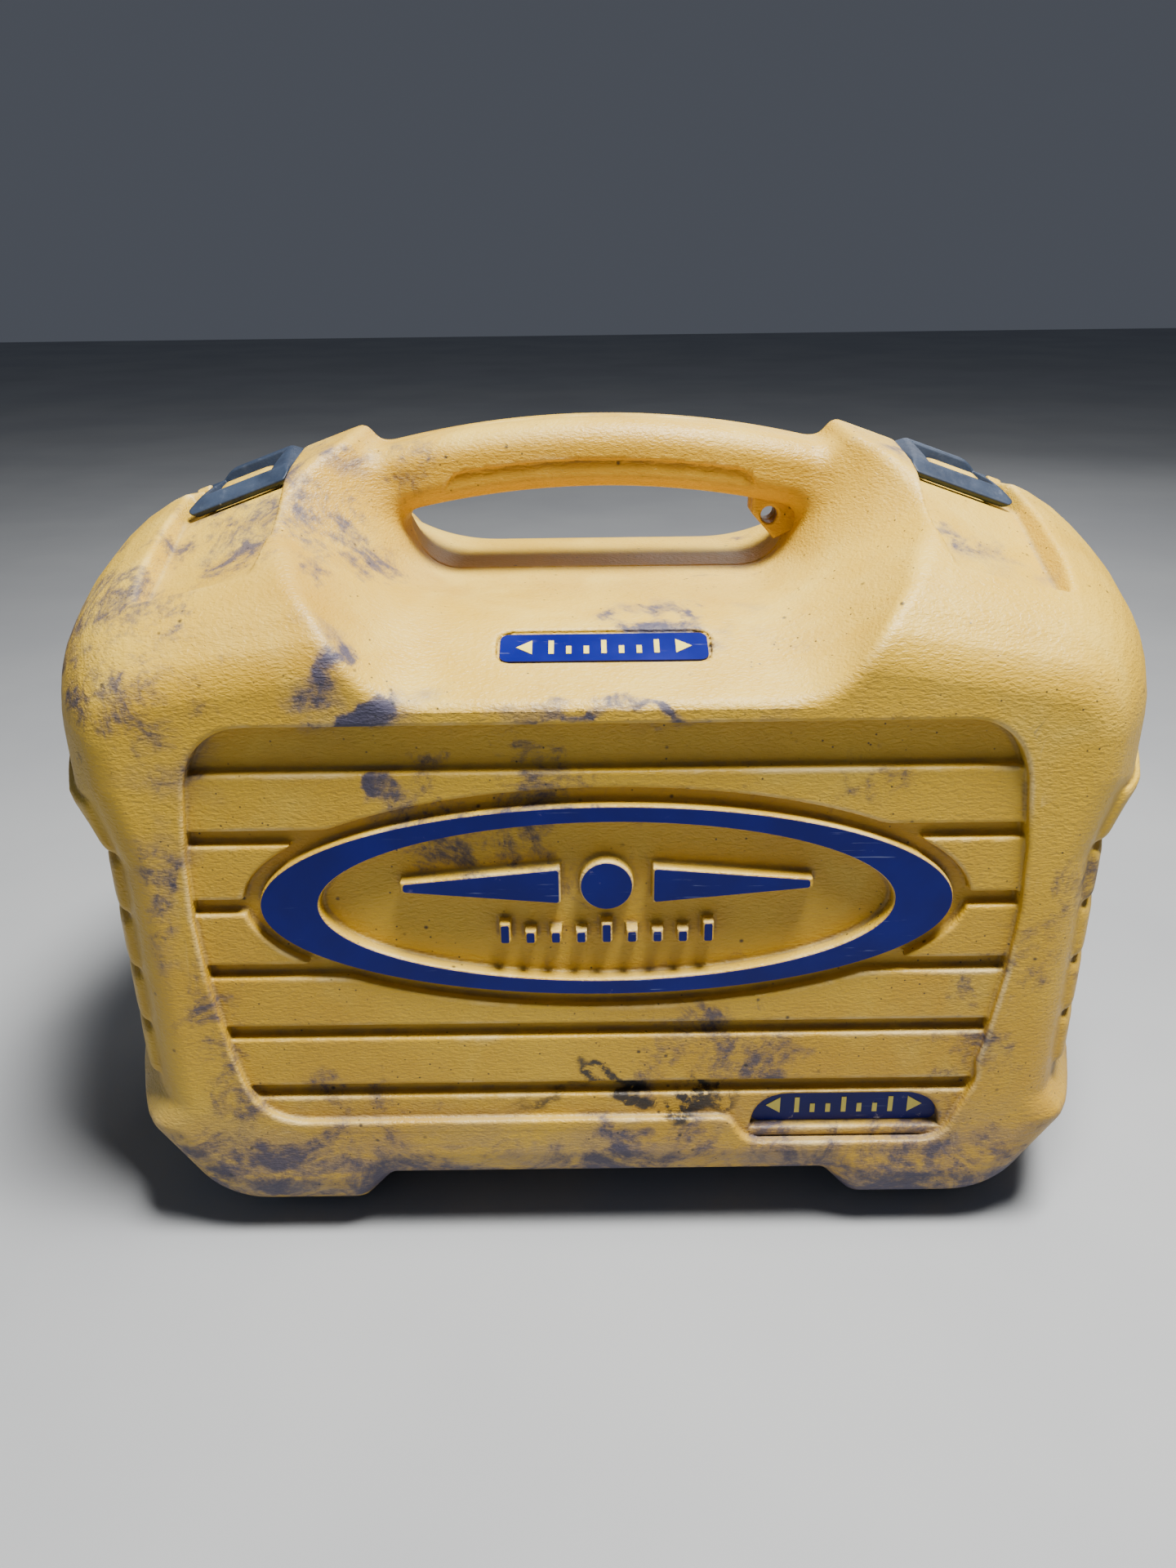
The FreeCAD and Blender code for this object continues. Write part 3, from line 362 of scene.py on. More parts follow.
def lug_field(u, y, n):
    """The rounded ridge of the base that fills a latch's window."""
    top = LUG_TOP - 0.08 * np.abs(y)
    lug = smooth_max(np.abs(u) - LUG_HALF, slab(y, -LUG_REACH, LUG_REACH), 3.0)
    lug = smooth_max(lug, n - top, 3.5)
    lug = np.maximum(lug, LUG_GAP - n)
    root = np.maximum(np.maximum(np.abs(u) - LUG_HALF, slab(y, LUG_ROOT, LUG_REACH)), slab(n, -3.0, 0.8))
    return np.minimum(lug, root)


def ear_field(u, y, n):
    """The two bosses that hold the ends of a latch pin."""
    along = slab(np.abs(u), RECESS_HALF - 0.9, RECESS_HALF + 5.0)
    boss = pin_distance(y, n) - LATCH_BOSS
    foot = np.maximum(np.abs(y - LATCH_PIN_Y) - LATCH_BOSS, slab(n, -6.0, LATCH_PIN_UP))
    return smooth_max(smooth_min(boss, foot, 1.0), along, 0.8)


def knuckle_field(x, y, z, front):
    """The knuckles of both hinges on one shell, with the web that ties each to the belly."""
    step = KNUCKLE_W + KNUCKLE_GAP
    centres = [HINGE_X] if front else [HINGE_X - step, HINGE_X + step]
    along = np.minimum.reduce([np.abs(np.abs(x) - c) - KNUCKLE_W / 2 for c in centres])
    round_part = np.sqrt(y * y + (z - HINGE_Z) ** 2)
    deep = KNUCKLE_R + np.clip(z - 10, 0, 9) * 0.5
    web = np.maximum(slab(y, PART_GAP + WEB_OFF, deep), slab(z, HINGE_Z, 17.5))
    body = smooth_min(round_part - KNUCKLE_R, web, 1.2)
    return smooth_max(smooth_max(body, along, 0.7), PIN_R - round_part, 0.5)


def round_bar(y, z, half_y, half_z, r):
    """Distance to the wall of a long bar with rounded corners."""
    return rounded_box(np.abs(y) - half_y + r, np.abs(z) - half_z + r, r)


def pocket_field(x, y, z, front):
    """The room cut in a foam insert: the instrument's, and on the base the receiver's too."""
    up = z - LASER_Z
    out = x - LASER_FOOT_X
    barrel = smooth_max(round_bar(y, up, 66.0, 62.0, 18.0), slab(out, -5.0, 128.0), 4.0)
    head = smooth_max(round_bar(y, up, 46.0, 60.0, 14.0), slab(out, 126.0, 215.0), 4.0)
    pocket = np.minimum(barrel, head)
    if front:
        return pocket
    up = z - RECEIVER_Z
    receiver = smooth_max(round_bar(x - RECEIVER_X, up, 38.5, 76.5, 5.0), y - 34.0, 4.0)
    finger = np.sqrt((x - RECEIVER_X) ** 2 + (up + 76.5) ** 2) - 14.0
    receiver = smooth_min(receiver, smooth_max(finger, y - 23.0, 4.0), 2.0)
    return np.minimum(pocket, receiver)


def foam_field(x, y, z, front):
    """A foam insert: it fills its shell's room but for the pockets."""
    block = smooth_max(cavity_field(x, y, z) + 0.6, 0.6 - y, 2.5)
    return smooth_max(block, -pocket_field(x, y, z, front), 3.5)


def knuckle_room(x, y, z):
    """The room that both shells leave round the hinge knuckles."""
    along = slab(np.abs(x), HINGE_ROOM_IN, HINGE_ROOM_OUT)
    barrel = np.sqrt(y * y + (z - HINGE_Z) ** 2) - HINGE_ROOM_R
    return np.maximum(along, barrel)


def cavity_field(x, y, z):
    """Negative inside the room of a shell, which narrows towards its outer face."""
    t = np.clip(y / CAVITY_DEPTH, -0.1, 1.2)
    half, top, low = 192.0 - 34.0 * t, 232.0 - 22.0 * t, 19.0 + 14.0 * t
    corner = (np.abs(x) - half + 40.0 - (z - low) * 0.87) * 0.75
    walls = smooth_max(np.abs(x) - half, np.maximum(low - z, z - top), 16.0)
    walls = smooth_max(walls, corner, 12.0)
    return smooth_max(walls, y - CAVITY_DEPTH, 6.0)


def shell_field(x, y, z, front):
    """The moulding of one shell at depth y from the parting plane: negative inside the plastic."""
    body = OUTLINE(x, y, z)
    body = smooth_max(body, y - HALF_DEPTH + FACE_IN, 7.0)
    body = smooth_min(body, side_rib_field(x, y, z, body), 1.6)
    body = smooth_max(body, -scoop_field(x, y, z), 4.5)
    body = smooth_max(body, -latch_recess_field(x, y, z), 2.2)
    pad = np.maximum(grip_pad_field(x, z), PAD_FLOOR - y)
    body = smooth_min(body, smooth_max(grip_field(x, y, z), -pad, 1.0), 9.0)
    if front:
        body = smooth_max(body, -plate_pocket_field(x, y, z), 1.0)
    sink = panel_sink_field(x, z, front) - RIM_CUT
    sink = np.maximum(sink, HALF_DEPTH - PANEL_DEEP - UNDER_PANEL - y)
    body = smooth_max(body, -sink, 1.2)
    notch = np.maximum(z - (HINGE_Z + 0.3), y - FOOT_NOTCH)
    body = smooth_max(body, -notch, 2.5)
    body = np.maximum(body, -knuckle_room(x, y, z))
    body = np.maximum(body, -cavity_field(x, y, z))
    return smooth_max(body, PART_GAP - y, 1.2)


# ---- from a field to a mesh
FINE_STEP = 0.85         # a grid finer than this shows bends a millimetre across


def surface_net(values, origin, step):
    """One vertex per cell that the surface crosses, and one quad per grid edge that it crosses."""
    inside = values < 0
    size = np.array(values.shape) - 1
    corners = [(i, j, k) for i in (0, 1) for j in (0, 1) for k in (0, 1)]

    def corner(array, c):
        return array[c[0]:c[0] + size[0], c[1]:c[1] + size[1], c[2]:c[2] + size[2]]

    count = sum(corner(inside, c).astype(np.int8) for c in corners)
    active = (count > 0) & (count < 8)
    cells = np.argwhere(active)
    number = np.full(active.shape, -1, np.int64)
    number[active] = np.arange(len(cells))
    total = np.zeros((len(cells), 3))
    hits = np.zeros(len(cells))
    at = {c: corner(values, c)[active] for c in corners}
    for a in corners:
        for axis in range(3):
            if a[axis]:
                continue
            b = tuple(1 if n == axis else a[n] for n in range(3))
            cross = (at[a] < 0) != (at[b] < 0)
            t = at[a][cross] / (at[a][cross] - at[b][cross])
            point = np.tile(np.array(a, float), (cross.sum(), 1))
            point[:, axis] += t
            total[cross] += point
            hits[cross] += 1
    verts = (cells + total / hits[:, None]) * step + origin
    faces = []
    for axis in range(3):
        u, v = [n for n in range(3) if n != axis]
        first = [slice(None)] * 3
        second = [slice(None)] * 3
        first[axis], second[axis] = slice(0, -1), slice(1, None)
        change = inside[tuple(first)] != inside[tuple(second)]
        nodes = np.argwhere(change)
        keep = (nodes[:, u] > 0) & (nodes[:, v] > 0) & (nodes[:, u] < size[u]) & (nodes[:, v] < size[v])
        nodes = nodes[keep]
        solid_first = inside[tuple(first)][tuple(nodes.T)]
        ring = []
        for du, dv in ((1, 1), (0, 1), (0, 0), (1, 0)):
            cell = nodes.copy()
            cell[:, u] -= du
            cell[:, v] -= dv
            ring.append(number[tuple(cell.T)])
        quad = np.stack(ring, 1)
        flip = solid_first if axis != 1 else ~solid_first
        quad[~flip] = quad[~flip][:, ::-1]
        faces.append(quad)
    return verts, np.concatenate(faces)


def gradient(field, points, h=0.35):
    """The field's slope at each point, which is the surface's outward direction."""
    out = np.empty_like(points)
    for axis in range(3):
        step = np.zeros(3)
        step[axis] = h
        out[:, axis] = (field(*(points + step).T) - field(*(points - step).T)) / (2 * h)
    return out


def settle(field, points, rounds=3, reach=0.6):
    """Moves points onto the field's surface."""
    for _ in range(rounds):
        slope = gradient(field, points)
        length = np.sum(slope * slope, axis=1)
        move = -field(*points.T)[:, None] * slope / np.maximum(length, 0.05)[:, None]
        size = np.linalg.norm(move, axis=1, keepdims=True)
        points = points + move * np.minimum(1.0, reach / np.maximum(size, 1e-9))
    return points


def unit(vectors):
    return vectors / np.maximum(np.linalg.norm(vectors, axis=1, keepdims=True), 1e-9)


def bend(field, points, h):
    """How sharply the surface bends at each point: above 0 on an edge, below 0 in a groove."""
    middle = field(*points.T)
    total = -6.0 * middle
    for axis in range(3):
        step = np.zeros(3)
        step[axis] = h
        total = total + field(*(points + step).T) + field(*(points - step).T)
    return total / h


def mesh_object(name, verts, faces, normals, curve):
    """A Blender object from millimetre points, their normals and how sharply the surface bends there."""
    mesh = bpy.data.meshes.new(name)
    mesh.from_pydata((np.asarray(verts) * MM).tolist(), [], [tuple(map(int, face)) for face in faces])
    mesh.attributes.new("bend", "FLOAT", "POINT").data.foreach_set("value", np.asarray(curve, np.float32))
    mesh.polygons.foreach_set("use_smooth", np.ones(len(mesh.polygons), bool))
    mesh.update()
    mesh.normals_split_custom_set_from_vertices(normals.tolist())
    piece = bpy.data.objects.new(name, mesh)
    bpy.context.scene.collection.objects.link(piece)
    return piece


def field_piece(name, field, low, high, step, most=95000, mirror=False, place=None, shade=None):
    """Meshes a field in the box from low to high, for the lid's side, or for the base's if mirror is set.

    The box has to hold the whole surface, or the mesh is left open where the box cuts it.
    place, where given, is a matrix that carries the mesh from its own axes to the case's instead.
    shade, where given, is the field that the normals and the bend come from; the bend drives the scuffs and
    painted highlight on edges and the dirt and painted shade in grooves.
    """
    axes = [np.arange(a, b + step, step) for a, b in zip(low, high)]
    values = np.empty([len(a) for a in axes], np.float32)
    for i, y in enumerate(axes[1]):
        gx, gz = np.meshgrid(axes[0], axes[2], indexing="ij")
        values[:, i, :] = field(gx, np.full_like(gx, y), gz)
    verts, faces = surface_net(values, np.array(low, float), step)
    verts = settle(field, verts)
    if len(faces) > most:
        verts, faces = thin_out(verts, faces, most / len(faces))
        verts = settle(field, verts, rounds=2)
    shade = shade or field
    normals = unit(gradient(shade, verts))
    curve = bend(shade, verts, 1.0 if step < FINE_STEP else 2.0)
    turn = place if place is not None else Matrix.Diagonal((1, 1 if mirror else -1, 1, 1))
    turn = np.array(turn)
    verts = verts @ turn[:3, :3].T + turn[:3, 3]
    normals = normals @ turn[:3, :3].T
    if np.linalg.det(turn[:3, :3]) < 0:
        faces = [face[::-1] for face in faces]
    return mesh_object(name, verts, faces, normals, curve)


def thin_out(verts, faces, ratio):
    """Fewer, larger faces where the surface is flat."""
    mesh = bpy.data.meshes.new("thin")
    mesh.from_pydata(verts.tolist(), [], faces.tolist())
    piece = bpy.data.objects.new("thin", mesh)
    bpy.context.scene.collection.objects.link(piece)
    cut = piece.modifiers.new("cut", "DECIMATE")
    cut.ratio = ratio
    graph = bpy.context.evaluated_depsgraph_get()
    done = bpy.data.meshes.new_from_object(piece.evaluated_get(graph))
    out = np.empty(len(done.vertices) * 3)
    done.vertices.foreach_get("co", out)
    polygons = [tuple(p.vertices) for p in done.polygons]
    bpy.data.objects.remove(piece)
    bpy.data.meshes.remove(mesh)
    bpy.data.meshes.remove(done)
    return out.reshape(-1, 3), polygons


# ---- node helpers
class Nodes:
    """A short way to write a material's nodes."""

    def __init__(self, name):
        self.material = bpy.data.materials.new(name)
        self.material.use_nodes = True
        self.tree = self.material.node_tree
        self.shader = self.tree.nodes["Principled BSDF"]
        self.place = self.add("ShaderNodeTexCoord").outputs["Object"]

    def add(self, kind, **settings):
        node = self.tree.nodes.new(kind)
        for key, value in settings.items():
            if key in node.inputs:
                node.inputs[key].default_value = value
            else:
                setattr(node, key, value)
        return node

    def link(self, source, target):
        self.tree.links.new(source, target)

    def stretched(self, scale, turn=(0, 0, 0)):
        """Object coordinates scaled by axis."""
        node = self.add("ShaderNodeMapping")
        node.inputs["Scale"].default_value = scale
        node.inputs["Rotation"].default_value = turn
        self.link(self.place, node.inputs["Vector"])
        return node.outputs["Vector"]

    def noise(self, scale, detail=4.0, rough=0.55, distort=0.0, vector=None):
        node = self.add("ShaderNodeTexNoise")
        node.inputs["Scale"].default_value = scale
        node.inputs["Detail"].default_value = detail
        node.inputs["Roughness"].default_value = rough
        node.inputs["Distortion"].default_value = distort
        self.link(vector or self.place, node.inputs["Vector"])
        return node.outputs["Fac"]

    def cells(self, scale, vector=None, feature="F1"):
        node = self.add("ShaderNodeTexVoronoi", feature=feature)
        node.inputs["Scale"].default_value = scale
        self.link(vector or self.place, node.inputs["Vector"])
        return node.outputs["Distance"]

    def band(self, value, low, high, to_low=0.0, to_high=1.0):
        """Maps low..high to to_low..to_high with a smooth step."""
        node = self.add("ShaderNodeMapRange", interpolation_type="SMOOTHSTEP")
        for key, number in (("From Min", low), ("From Max", high), ("To Min", to_low), ("To Max", to_high)):
            node.inputs[key].default_value = number
        self.link(value, node.inputs["Value"])
        return node.outputs["Result"]

    def maths(self, operation, a, b=None, clamp=False):
        node = self.add("ShaderNodeMath", operation=operation)
        node.use_clamp = clamp
        for slot, value in zip(node.inputs, (a, b)):
            if value is None:
                continue
            if isinstance(value, (int, float)):
                slot.default_value = value
            else:
                self.link(value, slot)
        return node.outputs[0]

    def mix(self, factor, a, b):
        """Mixes two colours; either may be a link or a plain colour."""
        node = self.add("ShaderNodeMix", data_type="RGBA")
        slots = {"Factor": node.inputs[0], "A": node.inputs[6], "B": node.inputs[7]}
        for key, value in (("Factor", factor), ("A", a), ("B", b)):
            if isinstance(value, bpy.types.NodeSocket):
                self.link(value, slots[key])
            elif key == "Factor":
                slots[key].default_value = value
            else:
                slots[key].default_value = (*value, 1.0)
        return node.outputs[2]

    def attribute(self, name):
        node = self.add("ShaderNodeAttribute", attribute_name=name)
        return node.outputs["Fac"]

    def upward(self, vector):
        """The Z part of a vector."""
        node = self.add("ShaderNodeSeparateXYZ")
        self.link(vector, node.inputs[0])
        return node.outputs["Z"]

    def bump(self, height, strength, distance, normal=None):
        node = self.add("ShaderNodeBump")
        node.inputs["Strength"].default_value = strength
        node.inputs["Distance"].default_value = distance
        self.link(height, node.inputs["Height"])
        if normal is not None:
            self.link(normal, node.inputs["Normal"])
        return node.outputs["Normal"]

    def colour(self, value):
        self.put("Base Color", value)

    def put(self, name, value):
        if isinstance(value, bpy.types.NodeSocket):
            self.link(value, self.shader.inputs[name])
        elif isinstance(value, tuple) and len(value) == 3:
            self.shader.inputs[name].default_value = (*value, 1.0)
        else:
            self.shader.inputs[name].default_value = value


YELLOW, YELLOW_DEEP, YELLOW_PALE = (0.55, 0.335, 0.017), (0.44, 0.245, 0.012), (0.74, 0.58, 0.14)
# The rubbed yellow also paints a highlight on convex edges.
YELLOW_RUBBED_AND_LIT = (0.84, 0.70, 0.42)
# The first grime colour also paints shade in grooves.
GRIME_AND_SHADE, GRIME_DARK, FILM_GRIME = (0.038, 0.038, 0.080), (0.010, 0.010, 0.015), (0.080, 0.078, 0.135)

# Where the case has picked up dirt: centre, half-size and strength, in millimetres.
GRIME_SPOTS = [
    ((-93, -105, 233), (12, 16, 17), 0.8), ((-76, -106, 222), (24, 16, 11), 1.0),
    ((-70, -105, 188), (8, 10, 18), 0.7), ((-192, -45, 224), (22, 30, 15), 0.75),
    ((-155, -107, 150), (12, 12, 46), 0.6), ((-150, -108, 205), (30, 12, 16), 0.5),
    ((-146, -88, 26), (58, 50, 34), 0.95), ((150, -84, 22), (56, 56, 36), 0.95),
    ((0, -98, 44), (170, 20, 12), 0.75), ((-96, -14, 293), (20, 26, 9), 0.7),
    ((24, -68, 240), (48, 22, 9), 0.75), ((112, -10, 292), (18, 40, 12), 0.7),
    ((10, -107, 221), (60, 12, 6), 0.7), ((128, -60, 262), (30, 22, 8), 0.5),
    ((-150, 80, 30), (66, 54, 40), 0.9), ((148, 86, 26), (60, 50, 34), 0.9),
    ((70, 104, 224), (26, 24, 18), 0.8), ((190, 40, 200), (26, 44, 40), 0.7),
]
RESIDUE = ((6, -108, 68), (44, 12, 8))
PUSH = (0.06, 0.03, 0.06)      # metres that the full range of the warping noise spans, by axis


def warped(n):
    """The case's coordinates, pushed about by some 6 mm so that a spot gets a ragged outline."""
    noise = n.add("ShaderNodeTexNoise")
    noise.inputs["Scale"].default_value = 42.0
    noise.inputs["Detail"].default_value = 6.0
    n.link(n.place, noise.inputs["Vector"])
    push = n.add("ShaderNodeVectorMath", operation="MULTIPLY_ADD")
    n.link(noise.outputs["Color"], push.inputs[0])
    push.inputs[1].default_value = PUSH
    n.link(n.place, push.inputs[2])
    centred = n.add("ShaderNodeVectorMath", operation="SUBTRACT")
    n.link(push.outputs[0], centred.inputs[0])
    centred.inputs[1].default_value = [c / 2 for c in PUSH]
    return centred.outputs[0]


def spot(n, place, centre, size, inner=0.25):
    """1 at the middle of a soft ellipsoid in the case's coordinates, 0 outside it."""
    away = n.add("ShaderNodeVectorMath", operation="SUBTRACT")
    n.link(place, away.inputs[0])
    away.inputs[1].default_value = [c * MM for c in centre]
    scaled = n.add("ShaderNodeVectorMath", operation="DIVIDE")
    n.link(away.outputs[0], scaled.inputs[0])
    scaled.inputs[1].default_value = [c * MM for c in size]
    length = n.add("ShaderNodeVectorMath", operation="LENGTH")
    n.link(scaled.outputs[0], length.inputs[0])
    return n.band(length.outputs["Value"], inner, 1.0, 1.0, 0.0)


def spots(n, place):
    """The strongest of all the dirty spots at each point."""
    total = None
    for centre, size, strength in GRIME_SPOTS:
        one = n.maths("MULTIPLY", spot(n, place, centre, size), strength)
        total = one if total is None else n.maths("MAXIMUM", total, one)
    return total


def shell_plastic():
    """Grained yellow polyethylene: paler on upward faces as a painted top light, darker towards the bottom,
    scuffed on its edges with a painted edge highlight, and grimy with painted shade in its grooves.
    """
    n = Nodes("shell_plastic")
    broad = n.noise(7.0, 5.0, 0.6)
    blotch = n.noise(26.0, 6.0, 0.62, 0.4)
    colour = n.mix(n.band(broad, 0.35, 0.68), YELLOW, YELLOW_DEEP)
    colour = n.mix(n.band(blotch, 0.50, 0.80, 0.0, 0.22), colour, YELLOW_PALE)
    # Upward faces are mixed towards pale yellow, broken up by the blotch noise: a painted top light.
    facing_up = n.band(n.upward(n.add("ShaderNodeNewGeometry").outputs["Normal"]), 0.2, 0.95)
    painted_top_light = n.maths("MULTIPLY", facing_up, n.band(blotch, 0.25, 0.7, 0.05, 0.30))
    colour = n.mix(painted_top_light, colour, YELLOW_PALE)

    curve = n.attribute("bend")
    # Convex edges are mixed towards a pale rubbed yellow: scuffs and a painted edge highlight.
    edge = n.band(curve, 0.25, 1.2)
    rubbed_and_lit_edge = n.maths("MULTIPLY", edge, n.band(blotch, 0.42, 0.66), clamp=True)
    colour = n.mix(n.maths("MULTIPLY", rubbed_and_lit_edge, 0.30), colour, YELLOW_RUBBED_AND_LIT)

    # Darker towards the bottom, up to 80 mm above the floor.
    low = n.band(n.upward(n.place), 0.012, 0.080, 1.0, 0.0)
    smear = n.noise(30.0, 9.0, 0.72, 0.9)
    stipple = n.noise(170.0, 6.0, 0.7, 0.3)
    wiped = n.noise(1.0, 6.0, 0.7, 0.6, n.stretched((22.0, 30.0, 75.0), (0.0, 0.25, 0.0)))
    broken = n.maths("ADD", n.maths("MULTIPLY", smear, 0.65), n.maths("MULTIPLY", stipple, 0.35))
    ragged = warped(n)
    spotty = spots(n, ragged)
    wide = n.maths("MAXIMUM", spotty, n.maths("MULTIPLY", low, 0.85))
    film = n.maths("MULTIPLY", wide, n.band(n.maths("ADD", smear, wiped), 0.82, 1.12, 0.05, 0.85))
    colour = n.mix(film, colour, FILM_GRIME)
    reach = n.maths("MAXIMUM", spotty, n.maths("MULTIPLY", low, 0.80))
    reach = n.maths("MAXIMUM", reach, n.band(n.noise(11.0, 3.0, 0.5), 0.50, 0.68, 0.0, 0.62))
    cover = n.maths("SUBTRACT", n.maths("ADD", broken, n.maths("MULTIPLY", reach, 0.30)), 0.64)
    dirt_and_groove_shade = n.band(cover, -0.03, 0.13, 0.0, 0.88)
    # Grooves are mixed towards the grime colour: settled dirt and a painted shade in creases.
    groove = n.band(curve, -0.15, -1.1)
    settled_dirt_and_shade = n.maths("MULTIPLY", groove, n.band(smear, 0.36, 0.70, 0.10, 0.55))
    dirt_and_groove_shade = n.maths("MAXIMUM", dirt_and_groove_shade, settled_dirt_and_shade)
    colour = n.mix(dirt_and_groove_shade, colour, GRIME_AND_SHADE)

    crowded = n.maths("MULTIPLY", spotty, 0.8)
    here = n.maths("MAXIMUM", n.band(n.noise(21.0), 0.45, 0.55), crowded)
    specks = n.maths("MULTIPLY", n.band(n.cells(95.0), 0.03, 0.11, 1.0, 0.0), here)
    here = n.maths("MAXIMUM", n.band(n.noise(33.0), 0.46, 0.56), crowded)
    small = n.maths("MULTIPLY", n.band(n.cells(260.0), 0.05, 0.14, 1.0, 0.0), here)
    streaks = n.noise(1.0, 5.0, 0.6, 0.3, n.stretched((90.0, 90.0, 420.0), (0.0, 0.5, 0.0)))
    scratch = n.maths("MULTIPLY", n.band(streaks, 0.70, 0.76), n.band(n.noise(14.0), 0.52, 0.62))
    colour = n.mix(n.maths("MULTIPLY", scratch, 0.5), colour, GRIME_AND_SHADE)
    colour = n.mix(n.maths("MULTIPLY", n.maths("MAXIMUM", specks, small), 0.85), colour, GRIME_DARK)
    tar = n.maths("MULTIPLY", spot(n, ragged, *RESIDUE, inner=0.6), n.band(broken, 0.43, 0.50))
    colour = n.mix(n.maths("MULTIPLY", tar, 0.95), colour, GRIME_DARK)
    n.colour(colour)

    rough = n.maths("ADD", n.band(blotch, 0.3, 0.8, 0.40, 0.56), n.maths("MULTIPLY", dirt_and_groove_shade, 0.2), clamp=True)
    n.put("Roughness", rough)
    n.put("Specular IOR Level", 0.42)
    wrinkle = n.noise(1.0, 3.0, 0.5, 0.8, n.stretched((560.0, 640.0, 1150.0)))
    pebble = n.cells(900.0, n.stretched((0.62, 0.9, 1.25)), "SMOOTH_F1")
    grain = n.maths("ADD", wrinkle, n.maths("MULTIPLY", pebble, 0.5))
    normal = n.bump(grain, 0.75, 0.0005)
    n.put("Normal", n.bump(broad, 0.12, 0.004, normal))
    return n.material


def foam_material():
    """Black open-celled foam."""
    n = Nodes("foam")
    pores = n.cells(900.0)
    wide = n.noise(60.0, 5.0)
    n.colour(n.mix(n.band(wide, 0.3, 0.7), (0.022, 0.022, 0.026), (0.045, 0.045, 0.05)))
    n.put("Roughness", 0.95)
    n.put("Specular IOR Level", 0.2)
    height = n.maths("ADD", pores, n.maths("MULTIPLY", wide, 0.5))
    n.put("Normal", n.bump(height, 0.55, 0.0009))
    return n.material


def latch_plastic():
    """Dusty blue-grey nylon with a few chalky specks."""
    n = Nodes("latch_plastic")
    wide = n.noise(45.0, 5.0, 0.6)
    colour = n.mix(n.band(wide, 0.35, 0.7), (0.014, 0.022, 0.042), (0.030, 0.044, 0.075))
    dust = n.noise(210.0, 6.0, 0.7)
    colour = n.mix(n.band(dust, 0.56, 0.78, 0.0, 0.28), colour, (0.17, 0.20, 0.26))
    here = n.band(n.noise(60.0), 0.60, 0.68)
    specks = n.maths("MULTIPLY", n.band(n.cells(240.0), 0.05, 0.13, 1.0, 0.0), here)
    colour = n.mix(n.maths("MULTIPLY", specks, 0.7), colour, (0.42, 0.45, 0.48))
    n.colour(colour)
    n.put("Roughness", n.band(dust, 0.3, 0.7, 0.42, 0.62))
    n.put("Specular IOR Level", 0.35)
    n.put("Normal", n.bump(n.noise(1500.0, 3.0), 0.16, 0.0004))
    return n.material


def blue_film():
    """Printed blue film, scratched along its length and worn through in places."""
    n = Nodes("blue_film")
    wide = n.noise(30.0, 5.0)
    colour = n.mix(n.band(wide, 0.35, 0.7), (0.0005, 0.002, 0.10), (0.001, 0.004, 0.14))
    lines = n.noise(1.0, 4.0, 0.6, 0.4, n.stretched((40.0, 300.0, 900.0), (0.0, 0.35, 0.0)))
    marks = n.maths("MULTIPLY", n.band(lines, 0.64, 0.70), n.band(n.noise(24.0), 0.45, 0.62))
    here = n.band(n.noise(12.0), 0.5, 0.64)
    worn = n.maths("MULTIPLY", n.band(n.noise(120.0, 8.0, 0.75), 0.62, 0.70), here)
    colour = n.mix(n.maths("MULTIPLY", marks, 0.5), colour, (0.25, 0.30, 0.48))
    colour = n.mix(n.maths("MULTIPLY", worn, 0.8), colour, (0.42, 0.38, 0.36))
    n.colour(colour)
    n.put("Roughness", n.maths("ADD", n.maths("MULTIPLY", marks, 0.3), n.band(wide, 0.3, 0.8, 0.30, 0.42)))
    n.put("Specular IOR Level", 0.2)
    n.put("Normal", n.bump(n.noise(700.0, 3.0), 0.06, 0.0004))
    return n.material


def plain(name, dark, light, rough=(0.4, 0.6), scale=60.0, metal=0.0, bump=0.1, grain=900.0, **sockets):
    """A material with gentle variation of colour and roughness and a fine grain."""
    n = Nodes(name)
    wide = n.noise(scale, 5.0, 0.6)
    n.colour(n.mix(n.band(wide, 0.3, 0.72), dark, light))
    n.put("Roughness", n.band(wide, 0.3, 0.72, *rough))
    n.put("Metallic", metal)
    n.put("Normal", n.bump(n.noise(grain, 3.0), bump, 0.0004))
    for key, value in sockets.items():
        n.put(key.replace("_", " "), value)
    return n.material


